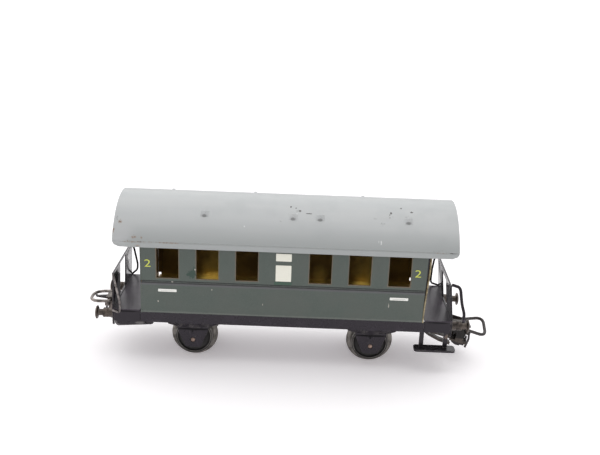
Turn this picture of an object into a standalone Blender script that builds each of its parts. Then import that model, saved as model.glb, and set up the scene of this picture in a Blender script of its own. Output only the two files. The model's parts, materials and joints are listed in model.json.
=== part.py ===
"""Model passenger coach: a two-axle tinplate coach for 16.5 mm gauge track.

The frame: +X runs along the coach to its right-hand end, +Y to its back side and +Z up.
The origin is on the table, under the middle of the bounding box. Lengths are in millimetres
until a mesh is made. Heights are measured above the running surface of the wheels and go
through up(), which adds the depth of the flanges that the coach stands on.
"""
import math

import bmesh
import bpy
from mathutils import Matrix, Vector

MM = 0.001
GAP = 0.05
SHEET = 0.4
FLANGE_DEPTH = 1.4

# The couplings reach out unequally, so the coach's middle is this far from the box's middle.
COACH_MIDDLE = -1.817

# Body
BODY_LENGTH = 85.4
BODY_WIDTH = 30.3
BODY_BOTTOM = 15.45
WAIST = 25.55
WINDOW_SILL = 26.9
WINDOW_HEAD = 36.6
WINDOW_WIDTH = 6.55
WINDOW_CENTRES = (-34.5, -22.65, -10.9, 10.9, 22.65, 34.5)
WALL_TOP = 38.2
WALL_FOLD = 1.2
WALL_FOOT = 3.8
WAIST_GROOVE = 0.25
DOOR_HALF = 4.3
DOOR_WINDOW_HALF = 2.8
DOOR_WINDOW_HEAD = 35.6

# Roof
ROOF_LENGTH = 101.6
ROOF_OFFSET = 0.4
ROOF_HALF_WIDTH = 16.94
ROOF_SHEET = 0.5
EAVE = 36.95
CREASE = 38.62
RIDGE = 49.24
EAVE_CORNER = 2.0
VENT_ROW = 10.4
VENT_PLACES = (-24.0, 2.2, 10.2, 36.3)
VENT_HEIGHT = 1.3
VENT_HALF = 1.35

# Chassis
FRAME_HALF_LENGTH = 43.0
FLOOR_TOP = 15.35
SOLEBAR_FACE = 14.6
SOLEBAR_BOTTOM = 12.1
SPRING_HALF = 7.3
SPRING_DIP = 1.55
AXLE_PLACE = 27.3
RIVET_ROW = 4.5
RIVET_RADIUS = 0.6
PLATFORM_TOP = 15.86
PLATFORM_END = 51.1
SKIRT_FACE = 14.3
SKIRT_BOTTOM = 12.0
END_FRAME_FACE = 51.6
END_FRAME_LEAN = {-1: 0.35, 1: 1.2}
HEADSTOCK_BOTTOM = 10.5
PANEL_HALF = 13.9
GANGWAY_HALF = 4.6
RAIL_TOP = 27.4
RAIL_BOTTOM = 26.9
STEP_LENGTH = 12.6
STEP_DEPTH = 3.9
STEP_THICKNESS = 0.7
STEP_CORNER = 1.0
FOLDED_BOARD = 12.3
RAISED_STEP_LENGTH = 11.8
RAISED_STEP_MIDDLE = (45.05, 12.45)
RAISED_STEP_TILT = 4.6
RAISED_STEP_INNER = 13.05
RAISED_STEP_HOLE = (41.6, 11.8)
RAISED_STEP_HANGERS = (42.8, 48.1)

# Running gear
AXLE_HEIGHT = 5.8
WHEEL_INNER = 7.0
AXLE_RADIUS = 1.0
JOURNAL_RADIUS = 0.75
JOURNAL_END = 12.95
GUARD_FACE = 12.85

# Buffers
BUFFER_HALF_SPACING = 10.55
BUFFER_HEIGHT = 12.9
BUFFER_FACE = 57.55
BUFFER_HOLE = 0.75
SLEEVE_END = 55.1
HEAD_BACK = 56.75

# Couplings: the arm's length from post to loop pivot, its droop and the loop's own lift
POST_PLACE = 35.5
ARM_HEIGHT = 8.8
ARM_BEND = 2.5
LOOP_RISE = 5.0
LOOP_REACH = 6.6
LOOP_HALF = 4.0
WIRE_RADIUS = 0.5
CHEEK_FACE = 3.15
CHEEK_SHEET = 0.45
ARM_HALF_SHEET = 0.25
HEAD_ROOT = 3.6


def up(height):
    """Height above the table of a height above the running surface."""
    return height + FLANGE_DEPTH


def remove_everything():
    for thing in list(bpy.data.objects):
        bpy.data.objects.remove(thing)


def finish(name, colour, roughness, metallic):
    """A Principled material with one colour, roughness and metallic value."""
    material = bpy.data.materials.new(name)
    material.use_nodes = True
    shader = material.node_tree.nodes["Principled BSDF"]
    shader.inputs["Base Color"].default_value = (*colour, 1.0)
    shader.inputs["Roughness"].default_value = roughness
    shader.inputs["Metallic"].default_value = metallic
    return material


def pivot(name, place, parent=None):
    """An empty on a joint's axis. The pieces that move with the joint are its children."""
    empty = bpy.data.objects.new(name, None)
    bpy.context.scene.collection.objects.link(empty)
    empty.empty_display_size = 3 * MM
    empty["place"] = place
    empty.location = Vector(place) * MM
    if parent is not None:
        empty.parent = parent
        empty.location -= Vector(parent["place"]) * MM
    return empty


def add_object(name, shape, parent):
    """Make an object from a bmesh drawn in the coach's frame, and hang it on its pivot."""
    if parent is not None:
        bmesh.ops.translate(shape, verts=shape.verts, vec=-Vector(parent["place"]) * MM)
    mesh = bpy.data.meshes.new(name)
    shape.to_mesh(mesh)
    shape.free()
    thing = bpy.data.objects.new(name, mesh)
    thing.parent = parent
    bpy.context.scene.collection.objects.link(thing)
    return thing


def add_piece(name, shape, material, parent=None, smooth=False):
    piece = add_object(name, shape, parent)
    piece.data.materials.append(material)
    if smooth:
        piece.data.shade_smooth()
        piece.data.set_sharp_from_angle(angle=math.radians(35))
    return piece


def change(piece, shape, operation):
    """Cut a shape out of a piece, or join it on, with a Boolean modifier."""
    tool = add_object(piece.name + "." + operation.lower(), shape, piece.parent)
    tool.hide_render = True
    tool.display_type = "WIRE"
    modifier = piece.modifiers.new(operation.title(), "BOOLEAN")
    modifier.operation = operation
    modifier.solver = "EXACT"
    modifier.object = tool


def cut(piece, shape):
    change(piece, shape, "DIFFERENCE")


def join(piece, shape):
    change(piece, shape, "UNION")


def prism(outline, plane, low, high, shape=None):
    """A flat outline in the XY, XZ or YZ plane, drawn out between two levels."""
    along = {"YZ": 0, "XZ": 1, "XY": 2}[plane]
    first, second = [axis for axis in range(3) if axis != along]
    shape = shape or bmesh.new()
    rings = []
    for level in (low, high):
        ring = []
        for point in outline:
            place = [0.0, 0.0, 0.0]
            place[first] = point[0]
            place[second] = point[1]
            place[along] = level
            ring.append(shape.verts.new(Vector(place) * MM))
        rings.append(ring)
    faces = [shape.faces.new(rings[0]), shape.faces.new(rings[1])]
    count = len(outline)
    for index in range(count):
        after = (index + 1) % count
        sides = (rings[0][index], rings[0][after], rings[1][after], rings[1][index])
        faces.append(shape.faces.new(sides))
    bmesh.ops.recalc_face_normals(shape, faces=faces)
    return shape


def box(low, high, shape=None):
    corners = [(low[0], low[2]), (high[0], low[2]), (high[0], high[2]), (low[0], high[2])]
    return prism(corners, "XZ", low[1], high[1], shape)


def turned(profile, segments, centre, axis, closed=False, shape=None):
    """Turn a profile of (radius, place along the axis) points about an X, Y or Z axis.

    An open profile starts and ends on the axis. A closed one is a ring with a bore.
    """
    along = "XYZ".index(axis)
    first, second = [index for index in range(3) if index != along]
    shape = shape or bmesh.new()
    rings = []
    for radius, level in profile:
        ring = []
        for step in range(segments if radius > 0 else 1):
            angle = 2 * math.pi * step / segments
            place = list(centre)
            place[first] += radius * math.cos(angle)
            place[second] += radius * math.sin(angle)
            place[along] += level
            ring.append(shape.verts.new(Vector(place) * MM))
        rings.append(ring)
    if closed:
        rings.append(rings[0])
    faces = []
    for lower, upper in zip(rings, rings[1:]):
        for step in range(segments):
            after = (step + 1) % segments
            around = [lower[step % len(lower)], lower[after % len(lower)]]
            around += [upper[after % len(upper)], upper[step % len(upper)]]
            corners = [vert for place, vert in enumerate(around) if vert not in around[:place]]
            faces.append(shape.faces.new(corners))
    bmesh.ops.recalc_face_normals(shape, faces=faces)
    return shape


def bar(radius, start, end, axis, segments=12, shape=None):
    """A plain round bar along an axis, used for holes."""
    length = end["XYZ".index(axis)] - start["XYZ".index(axis)]
    profile = [(0, 0), (radius, 0), (radius, length), (0, length)]
    return turned(profile, segments, start, axis, shape=shape)


def ribbon(points, thickness):
    """The outline of a strip bent along a line of points, with mitred corners."""
    line = [Vector(point) for point in points]
    steps = [(after - before).normalized() for before, after in zip(line, line[1:])]
    left = []
    right = []
    for index, point in enumerate(line):
        before = steps[max(index - 1, 0)]
        after = steps[min(index, len(steps) - 1)]
        middle = (before + after).normalized()
        reach = 0.5 * thickness / middle.dot(after)
        normal = Vector((-middle.y, middle.x))
        left.append(tuple(point + normal * reach))
        right.append(tuple(point - normal * reach))
    return left + right[::-1]


def wire(points, radius, sides=8):
    """A round wire along a line of points, with flat ends."""
    line = [Vector(point) for point in points]
    shape = bmesh.new()
    side = None
    rings = []
    for index, point in enumerate(line):
        ahead = line[min(index + 1, len(line) - 1)] - line[max(index - 1, 0)]
        ahead.normalize()
        side = (side or ahead.orthogonal())
        side = (side - ahead * side.dot(ahead)).normalized()
        other = ahead.cross(side)
        ring = []
        for step in range(sides):
            angle = 2 * math.pi * step / sides
            place = point + (side * math.cos(angle) + other * math.sin(angle)) * radius
            ring.append(shape.verts.new(place * MM))
        rings.append(ring)
    for lower, upper in zip(rings, rings[1:]):
        for step in range(sides):
            after = (step + 1) % sides
            shape.faces.new((lower[step], lower[after], upper[after], upper[step]))
    shape.faces.new(rings[0])
    shape.faces.new(rings[-1])
    bmesh.ops.recalc_face_normals(shape, faces=shape.faces[:])
    return shape


def arc(centre, radius, start, end, steps):
    """Points on an arc, with the angles in degrees."""
    points = []
    for step in range(steps + 1):
        angle = math.radians(start + (end - start) * step / steps)
        points.append((centre[0] + radius * math.cos(angle), centre[1] + radius * math.sin(angle)))
    return points


# ---------------------------------------------------------------- body and roof


def roof_arc():
    """Radius and centre height of the arc that joins both creases over the ridge."""
    rise = RIDGE - CREASE
    radius = (ROOF_HALF_WIDTH ** 2 + rise ** 2) / (2 * rise)
    return radius, RIDGE - radius


def roof_side(inset, steps=28):
    """The roof's section from the front eave over the ridge to the back eave."""
    radius, middle = roof_arc()
    half = math.degrees(math.asin(ROOF_HALF_WIDTH / radius))
    points = arc((0, up(middle)), radius - inset, 90 + half, 90 - half, steps)
    edge = ROOF_HALF_WIDTH - inset
    points[0] = (-edge, points[0][1])
    points[-1] = (edge, points[-1][1])
    return [(-edge, up(EAVE))] + points + [(edge, up(EAVE))]


def vent(shape, place, row, height):
    """A four-sided pressed bump, standing on the slope of the roof."""
    radius, middle = roof_arc()
    tilt = math.asin(row / radius)
    foot = Vector((place, row, up(middle) + math.sqrt(radius ** 2 - row ** 2)))
    turn = Matrix.Rotation(-tilt, 3, "X")
    sink = 0.22
    corners = [(-VENT_HALF, -VENT_HALF), (VENT_HALF, -VENT_HALF)]
    corners += [(VENT_HALF, VENT_HALF), (-VENT_HALF, VENT_HALF)]
    base = [shape.verts.new((foot + turn @ Vector((x, y, -sink))) * MM) for x, y in corners]
    tip = 0.28
    lean = 0.25
    crown = []
    for x, y in corners:
        point = Vector((x * tip + lean, y * tip, height))
        crown.append(shape.verts.new((foot + turn @ point) * MM))
    faces = [shape.faces.new(base), shape.faces.new(crown)]
    for index in range(4):
        after = (index + 1) % 4
        faces.append(shape.faces.new((base[index], base[after], crown[after], crown[index])))
    bmesh.ops.recalc_face_normals(shape, faces=faces)


def make_roof(material):
    left = ROOF_OFFSET - ROOF_LENGTH / 2
    right = ROOF_OFFSET + ROOF_LENGTH / 2
    outline = roof_side(0) + roof_side(ROOF_SHEET)[::-1]
    roof = add_piece("roof", prism(outline, "YZ", left, right), material, smooth=True)
    vents = bmesh.new()
    for place in VENT_PLACES:
        vent(vents, place, -VENT_ROW, VENT_HEIGHT)
        flattened = place == VENT_PLACES[1]
        vent(vents, -place, VENT_ROW, VENT_HEIGHT * (0.5 if flattened else 1.0))
    join(roof, vents)
    corners = bmesh.new()
    for end, sign in ((left, 1), (right, -1)):
        middle = (end + sign * EAVE_CORNER, up(EAVE) + EAVE_CORNER)
        round_edge = arc(middle, EAVE_CORNER, -90, -180 if sign > 0 else 0, 6)
        outside = end - sign
        outline = round_edge + [(outside, middle[1]), (outside, up(EAVE) - 1)]
        outline.append((middle[0], up(EAVE) - 1))
        prism(outline, "XZ", -ROOF_HALF_WIDTH - 1, ROOF_HALF_WIDTH + 1, corners)
    cut(roof, corners)


def side_wall_section(side):
    """The wall's section in Y and Z: two folded flanges and the pressed waist line."""
    face = BODY_WIDTH / 2
    half_groove = 0.45
    half_root = 0.1
    bottom = up(BODY_BOTTOM)
    top = up(WALL_TOP)
    waist = up(WAIST)
    outer = [
        (face - WALL_FOOT, bottom),
        (face, bottom),
        (face, waist - half_groove),
        (face - WAIST_GROOVE, waist - half_root),
        (face - WAIST_GROOVE, waist + half_root),
        (face, waist + half_groove),
        (face, top),
        (face - WALL_FOLD, top),
    ]
    inner = [
        (face - WALL_FOLD, top - SHEET),
        (face - SHEET, top - SHEET),
        (face - SHEET, waist + half_groove),
        (face - SHEET - WAIST_GROOVE, waist + half_root),
        (face - SHEET - WAIST_GROOVE, waist - half_root),
        (face - SHEET, waist - half_groove),
        (face - SHEET, bottom + SHEET),
        (face - WALL_FOOT, bottom + SHEET),
    ]
    return [(side * y, z) for y, z in outer + inner]


def make_side_wall(name, side, material):
    corner_gap = 0.3
    half = BODY_LENGTH / 2 - SHEET - corner_gap
    wall = add_piece(name, prism(side_wall_section(side), "YZ", -half, half), material)
    windows = bmesh.new()
    inside = side * (BODY_WIDTH / 2 - 0.9)
    outside = side * (BODY_WIDTH / 2 + 1)
    for centre in WINDOW_CENTRES:
        low = (centre - WINDOW_WIDTH / 2, min(inside, outside), up(WINDOW_SILL))
        high = (centre + WINDOW_WIDTH / 2, max(inside, outside), up(WINDOW_HEAD))
        box(low, high, windows)
    cut(wall, windows)


def make_end_wall(name, end, material):
    """An end sheet with a raised door and two folded flanges that close the corners."""
    radius, middle = roof_arc()
    inner = radius - ROOF_SHEET - 0.1
    half = BODY_WIDTH / 2 - GAP
    spring = math.degrees(math.acos(half / inner))
    top = arc((0, up(middle)), inner, spring, 180 - spring, 24)
    outline = [(-half, up(BODY_BOTTOM)), (half, up(BODY_BOTTOM))] + top
    face = BODY_LENGTH / 2
    near = end * (face - SHEET)
    far = end * face
    wall = prism(outline, "YZ", min(near, far), max(near, far))
    piece = add_piece(name, wall, material)
    door_low, door_high = sorted((end * (face + 0.25), end * (face - 0.2)))
    join(piece, box((door_low, -DOOR_HALF, up(PLATFORM_TOP + 0.5)),
                    (door_high, DOOR_HALF, up(WINDOW_HEAD + 0.6))))
    flange_depth = 1.8
    flange_inset = 0.75
    for side in (-1, 1):
        low_y, high_y = sorted((side * (half - flange_inset - SHEET), side * (half - flange_inset)))
        low_x, high_x = sorted((end * (face - flange_depth), end * (face - 0.2)))
        join(piece, box((low_x, low_y, up(BODY_BOTTOM + 0.5)), (high_x, high_y, up(WALL_TOP - 0.5))))
    window = box((end * face - 2, -DOOR_WINDOW_HALF, up(WINDOW_SILL)),
                 (end * face + 2, DOOR_WINDOW_HALF, up(DOOR_WINDOW_HEAD)))
    cut(piece, window)


# ---------------------------------------------------------------- chassis


def spring_outline(centre):
    """Lower part of a solebar: a leaf spring's curve with a short step at each end."""
    bottom = up(SOLEBAR_BOTTOM)
    shoulder = 0.3
    sag = SPRING_DIP - shoulder
    radius = (SPRING_HALF ** 2 + sag ** 2) / (2 * sag)
    half = math.degrees(math.asin(SPRING_HALF / radius))
    middle = (centre, bottom - shoulder - sag + radius)
    curve = arc(middle, radius, 270 - half, 270 + half, 10)
    ends = [(centre + SPRING_HALF + 0.4, bottom + 0.6), (centre - SPRING_HALF - 0.4, bottom + 0.6)]
    return curve + ends


def make_chassis(material):
    length = FRAME_HALF_LENGTH
    floor = box((-length, 0.3 - SOLEBAR_FACE, up(FLOOR_TOP - 0.5)),
                (length, SOLEBAR_FACE - 0.3, up(FLOOR_TOP - GAP)))
    frame = add_piece("chassis_frame", floor, material)
    for side in (-1, 1):
        near = side * (SOLEBAR_FACE - 0.5)
        far = side * SOLEBAR_FACE
        low = (0.05 - length, min(near, far), up(SOLEBAR_BOTTOM))
        high = (length - 0.05, max(near, far), up(FLOOR_TOP))
        join(frame, box(low, high))
        springs = bmesh.new()
        for centre in (-AXLE_PLACE, AXLE_PLACE):
            prism(spring_outline(centre), "XZ", min(near, far) + 0.02, max(near, far) - 0.02,
                  springs)
        join(frame, springs)
    holes = bmesh.new()
    for end in (-1, 1):
        for x, y in rivet_places(end):
            bar(RIVET_RADIUS + GAP, (x, y, up(FLOOR_TOP - 1)), (x, y, up(FLOOR_TOP + 1)), "Z",
                shape=holes)
        post = end * POST_PLACE
        bar(0.85, (post, 0, up(FLOOR_TOP - 1)), (post, 0, up(FLOOR_TOP + 1)), "Z", shape=holes)
    cut(frame, holes)


def make_platform(name, end, material):
    """Floor tray of an open platform, with a skirt down each side."""
    inner = FRAME_HALF_LENGTH + 0.1
    half = SKIRT_FACE - 0.15
    low_x, high_x = sorted((end * inner, end * PLATFORM_END))
    floor = box((low_x, -half, up(PLATFORM_TOP - 0.5)), (high_x, half, up(PLATFORM_TOP)))
    platform = add_piece(name, floor, material)
    for side in (-1, 1):
        low_y, high_y = sorted((side * (SKIRT_FACE - 0.45), side * SKIRT_FACE))
        skirt = box((low_x + 0.02, low_y, up(SKIRT_BOTTOM)),
                    (high_x - 0.02, high_y, up(PLATFORM_TOP - 0.03)))
        join(platform, skirt)


def lean_inwards(piece, end, lean):
    """Bend a sheet at the platform so that its top leans in by this much."""
    bend = up(PLATFORM_TOP + 0.5)
    shape = bmesh.new()
    shape.from_mesh(piece.data)
    everything = shape.verts[:] + shape.edges[:] + shape.faces[:]
    bmesh.ops.bisect_plane(shape, geom=everything, plane_co=(0, 0, bend * MM), plane_no=(0, 0, 1),
                           dist=1e-7)
    for vert in shape.verts:
        above = vert.co.z / MM - bend
        if above > 0:
            vert.co.x -= end * lean * MM * above / (up(RAIL_TOP) - bend)
    shape.to_mesh(piece.data)
    shape.free()


def make_end_frame(name, end, material):
    """One stamped sheet: headstock, two railing panels and the top rail."""
    low_x, high_x = sorted((end * (END_FRAME_FACE - 0.5), end * END_FRAME_FACE))
    right = [
        (SKIRT_FACE - 0.5, up(HEADSTOCK_BOTTOM)),
        (SKIRT_FACE, up(HEADSTOCK_BOTTOM + 0.5)),
        (SKIRT_FACE, up(PLATFORM_TOP)),
        (PANEL_HALF, up(PLATFORM_TOP + 0.5)),
        (PANEL_HALF, up(RAIL_BOTTOM)),
        (SKIRT_FACE, up(RAIL_BOTTOM + 0.1)),
        (SKIRT_FACE, up(RAIL_TOP)),
    ]
    left = [(-y, z) for y, z in right[::-1]]
    frame = add_piece(name, prism(right + left, "YZ", low_x, high_x), material)
    gangway = box((low_x - 1, -GANGWAY_HALF, up(PLATFORM_TOP + 0.3)),
                  (high_x + 1, GANGWAY_HALF, up(RAIL_BOTTOM)))
    cut(frame, gangway)
    holes = bmesh.new()
    for side in (-1, 1):
        y = side * BUFFER_HALF_SPACING
        bar(BUFFER_HOLE, (low_x - 1, y, up(BUFFER_HEIGHT)), (high_x + 1, y, up(BUFFER_HEIGHT)),
            "X", shape=holes)
    cut(frame, holes)
    lean_inwards(frame, end, END_FRAME_LEAN[end])


def make_handrails(material):
    """Bent strips beside the platforms, each drawn as (distance from the middle, height)."""
    front_left = [(50.9, 27.3), (50.1, 23.3), (49.15, 18.3), (49.1, 16.2), (49.4, 14.8)]
    front_left.append((51.5, 15.6))
    back_left = [(51.2, 27.2), (50.3, 24.8), (49.25, 19.3), (49.45, 17.4), (51.4, 15.7)]
    back_right = [(50.0, 27.2), (49.2, 25.3), (48.7, 21.4), (48.6, 17.4), (49.0, 16.6)]
    back_right.append((51.3, 15.9))
    bent_out = [(50.55, 27.35), (52.8, 26.7), (53.35, 25.6), (53.7, 23.4), (54.2, 20.9)]
    bent_out += [(55.1, 18.0), (55.1, 15.1)]
    beside = (SKIRT_FACE + GAP, SKIRT_FACE + 0.5)
    outward = (12.8, 13.3)
    places = (
        ("handrail_left_front", -1, -1, front_left, beside),
        ("handrail_left_back", -1, 1, back_left, beside),
        ("handrail_right_back", 1, 1, back_right, beside),
        ("handrail_right_front", 1, -1, bent_out, outward),
    )
    for name, end, side, line, across in places:
        points = [(end * x, up(z)) for x, z in line]
        low_y, high_y = sorted((side * across[0], side * across[1]))
        add_piece(name, prism(ribbon(points, 0.6), "XZ", low_y, high_y), material)


def board_outline(length):
    """A step board's rounded outline about its own middle."""
    x = length / 2 - STEP_CORNER
    y = STEP_DEPTH / 2 - STEP_CORNER
    outline = []
    for corner, start in (((-x, -y), 180), ((x, -y), 270), ((x, y), 0), ((-x, y), 90)):
        outline += arc(corner, STEP_CORNER, start, start + 90, 4)
    return outline


def make_step(name, end, side, reach, board_height, board_inner, hanger, material):
    """A step board on two hangers: hanger is the strips' bent line in Y and Z."""
    middle_x = end * (reach - STEP_LENGTH / 2)
    middle_y = side * (board_inner + STEP_DEPTH / 2)
    outline = [(middle_x + x, middle_y + y) for x, y in board_outline(STEP_LENGTH)]
    board = prism(outline, "XY", up(board_height), up(board_height + STEP_THICKNESS))
    step = add_piece(name, board, material)
    section = ribbon([(side * y, up(z)) for y, z in hanger], SHEET)
    hangers = bmesh.new()
    half_strip = 0.7
    for place in (reach - STEP_LENGTH + 2.3, reach - 3.0):
        low_x, high_x = sorted((end * (place - half_strip), end * (place + half_strip)))
        prism(section, "YZ", low_x, high_x, hangers)
    join(step, hangers)


def make_raised_step(name, end, side, material):
    """A step board knocked up on edge behind the skirt, low at its outer end, with a dimple."""
    turn = Matrix.Rotation(math.radians(-RAISED_STEP_TILT * end), 2)
    middle = Vector((end * RAISED_STEP_MIDDLE[0], up(RAISED_STEP_MIDDLE[1])))
    outline = [middle + turn @ Vector(point) for point in board_outline(RAISED_STEP_LENGTH)]
    low_y, high_y = sorted((side * RAISED_STEP_INNER, side * (RAISED_STEP_INNER + STEP_THICKNESS)))
    step = add_piece(name, prism(outline, "XZ", low_y, high_y), material)
    hole_x = end * RAISED_STEP_HOLE[0]
    hole_z = up(RAISED_STEP_HOLE[1])
    face_y = side * (RAISED_STEP_INNER + STEP_THICKNESS)
    hole_low, hole_high = sorted((face_y - side * 0.5, face_y + side))
    cut(step, bar(0.4, (hole_x, hole_low, hole_z), (hole_x, hole_high, hole_z), "Y"))
    ceiling = FLOOR_TOP - 0.5 - GAP - 0.05
    hangers = bmesh.new()
    for place in RAISED_STEP_HANGERS:
        box((end * place - 0.7, low_y + 0.1, up(RAISED_STEP_HOLE[1] - 0.3)),
            (end * place + 0.7, high_y - 0.1, up(ceiling)), hangers)
    join(step, hangers)


def make_steps(material):
    ceiling = FLOOR_TOP - 0.5 - GAP - 0.2
    plane = SKIRT_FACE - 0.45 - GAP - 0.2
    lowered = [(plane, ceiling), (plane, 6.6)]
    make_step("step_right_front", 1, -1, 53.0, 6.3, 12.4, lowered, material)
    make_raised_step("step_left_front", -1, -1, material)
    folded = [(plane, ceiling), (9.4, 14.2), (10.0, 12.6)]
    make_step("step_left_back", -1, 1, 50.2, FOLDED_BOARD, 9.5, folded, material)
    make_step("step_right_back", 1, 1, 50.2, FOLDED_BOARD, 9.5, folded, material)


# ---------------------------------------------------------------- running gear


def rivet_places(end):
    """The two rivets of an axle bracket, in X and Y."""
    return [(end * AXLE_PLACE, -RIVET_ROW), (end * AXLE_PLACE, RIVET_ROW)]


def make_bracket(name, end, material):
    """Bent strip under the floor whose two cheeks are the axle guards."""
    centre = end * AXLE_PLACE
    top = up(FLOOR_TOP - 0.5 - GAP)
    half_plate = 4.2
    plate = box((centre - half_plate, 0.1 - GUARD_FACE, top - 0.5),
                (centre + half_plate, GUARD_FACE - 0.1, top))
    bracket = add_piece(name, plate, material)
    half = [(1.9, 3.45), (2.4, 3.7), (4.75, 9.4), (4.75, 13.4), (4.25, 14.25)]
    right = [(centre + x, up(z)) for x, z in half]
    left = [(centre - x, up(z)) for x, z in half[::-1]]
    for side in (-1, 1):
        low_y, high_y = sorted((side * (GUARD_FACE - 0.5), side * GUARD_FACE))
        guard = right + [(centre + 4.25, top - 0.05), (centre - 4.25, top - 0.05)] + left
        join(bracket, prism(guard, "XZ", low_y, high_y))
    holes = bmesh.new()
    axle = up(AXLE_HEIGHT)
    bar(JOURNAL_RADIUS + 0.06, (centre, -15, axle), (centre, 15, axle), "Y", 16, holes)
    for x, y in rivet_places(end):
        bar(RIVET_RADIUS + GAP, (x, y, top - 1), (x, y, top + 1), "Z", shape=holes)
    cut(bracket, holes)


def make_rivets(end, word, material):
    """Bracket rivets: a domed head below, a peened head on the floor above."""
    under = up(FLOOR_TOP - 1.0 - 2 * GAP)
    above = up(FLOOR_TOP + GAP)
    for number, (x, y) in enumerate(rivet_places(end), 1):
        head = [(0, -0.5), (0.6, -0.45), (1.05, -0.2), (1.1, 0), (RIVET_RADIUS, 0)]
        rise = above - under
        peen = [(RIVET_RADIUS, rise), (0.95, rise), (0.8, rise + 0.25), (0, rise + 0.3)]
        shape = turned(head + peen, 10, (x, y, under), "Z")
        add_piece("rivet_" + word + "_" + str(number), shape, material, smooth=True)


def wheel_profile():
    """Radius and distance from the inner face, from the bore round the tread and back."""
    return [
        (AXLE_RADIUS + 0.02, -0.2),
        (2.2, -0.2),
        (2.3, 0.5),
        (5.0, 0.5),
        (5.15, 0.0),
        (6.9, 0.0),
        (AXLE_HEIGHT + FLANGE_DEPTH, 0.35),
        (7.05, 0.75),
        (6.2, 1.05),
        (AXLE_HEIGHT, 1.5),
        (5.6, 3.3),
        (4.85, 3.3),
        (4.7, 2.65),
        (2.3, 2.65),
        (2.1, 3.5),
        (AXLE_RADIUS + 0.02, 3.5),
    ]


def make_wheelset(end, word, steel, black):
    centre = (end * AXLE_PLACE, 0, up(AXLE_HEIGHT))
    spin = pivot("spin_" + word, centre)
    shoulder = 11.6
    half = [(0, JOURNAL_END), (0.5, JOURNAL_END), (JOURNAL_RADIUS, JOURNAL_END - 0.2)]
    half += [(JOURNAL_RADIUS, shoulder), (AXLE_RADIUS, shoulder)]
    profile = [(radius, -y) for radius, y in half] + half[::-1]
    axle = turned(profile, 16, centre, "Y")
    add_piece("axle_" + word, axle, steel, spin, smooth=True)
    for side, face in ((-1, "front"), (1, "back")):
        profile = [(radius, side * (WHEEL_INNER + y)) for radius, y in wheel_profile()]
        shape = turned(profile, 32, centre, "Y", closed=True)
        add_piece("wheel_" + word + "_" + face, shape, black, spin, smooth=True)


def make_buffers(end, word, material):
    """Turned buffers: tail through the headstock, sleeve, thinner shank and head."""
    face = END_FRAME_FACE + GAP
    back = END_FRAME_FACE - 0.5 - GAP
    profile = [
        (0, back - 0.35),
        (0.8, back - 0.3),
        (1.1, back),
        (BUFFER_HOLE - GAP, back),
        (BUFFER_HOLE - GAP, face),
        (1.75, face),
        (1.75, face + 0.35),
        (1.45, face + 0.45),
        (1.45, SLEEVE_END),
        (1.0, SLEEVE_END + 0.15),
        (1.0, HEAD_BACK),
        (2.0, HEAD_BACK + 0.1),
        (2.05, BUFFER_FACE - 0.3),
        (1.1, BUFFER_FACE),
        (0, BUFFER_FACE),
    ]
    profile = [(radius, end * x) for radius, x in profile]
    for side, word_side in ((-1, "front"), (1, "back")):
        centre = (0, side * BUFFER_HALF_SPACING, up(BUFFER_HEIGHT))
        shape = turned(profile, 16, centre, "X")
        add_piece("buffer_" + word + "_" + word_side, shape, material, smooth=True)


# ---------------------------------------------------------------- couplings


class Coupling:
    """One coupling: its drawing frame starts at the arm's bend and follows its droop."""

    def __init__(self, end, word, reach, rear, droop, loop_lift, twist, nose):
        self.end = end
        self.word = word
        self.reach = reach
        self.rear = rear
        self.droop = math.radians(droop)
        self.loop_lift = math.radians(loop_lift)
        self.twist = twist
        self.nose = nose

    def place(self, x, z):
        """World X and Z of a point x outward from the post and z above the arm."""
        outward = x - ARM_BEND
        turned_x = outward * math.cos(self.droop) + z * math.sin(self.droop)
        turned_z = z * math.cos(self.droop) - outward * math.sin(self.droop)
        return (self.end * (POST_PLACE + ARM_BEND + turned_x), up(ARM_HEIGHT) + turned_z)

    def head(self, points):
        """Points given from the loop's pivot, in world X and Z."""
        return [self.place(self.reach + x, LOOP_RISE + z) for x, z in points]

    def loop_point(self, x, y):
        """A point of the wire loop, lifted about its pivot and twisted towards its end."""
        drop = self.twist * y * x / LOOP_REACH
        turned_x = x * math.cos(self.loop_lift) - drop * math.sin(self.loop_lift)
        turned_z = drop * math.cos(self.loop_lift) + x * math.sin(self.loop_lift)
        world_x, world_z = self.place(self.reach + turned_x, LOOP_RISE + turned_z)
        return (world_x, y, world_z)


def make_post(end, word, material):
    """Shouldered post under the floor. The drawbar turns on it, above its head."""
    arm_low = ARM_HEIGHT - ARM_HALF_SHEET - GAP
    arm_high = ARM_HEIGHT + ARM_HALF_SHEET + GAP
    floor_low = FLOOR_TOP - 0.5 - GAP
    profile = [
        (0, arm_low - 0.6),
        (1.4, arm_low - 0.5),
        (1.7, arm_low - 0.3),
        (1.7, arm_low),
        (1.0, arm_low),
        (1.0, arm_high),
        (1.5, arm_high),
        (1.5, floor_low),
        (0.8, floor_low),
        (0.8, FLOOR_TOP + GAP),
        (1.3, FLOOR_TOP + GAP),
        (1.1, FLOOR_TOP + 0.35),
        (0, FLOOR_TOP + 0.4),
    ]
    shape = turned(profile, 14, (end * POST_PLACE, 0, up(0)), "Z")
    add_piece("pivot_post_" + word, shape, material, smooth=True)


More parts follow.
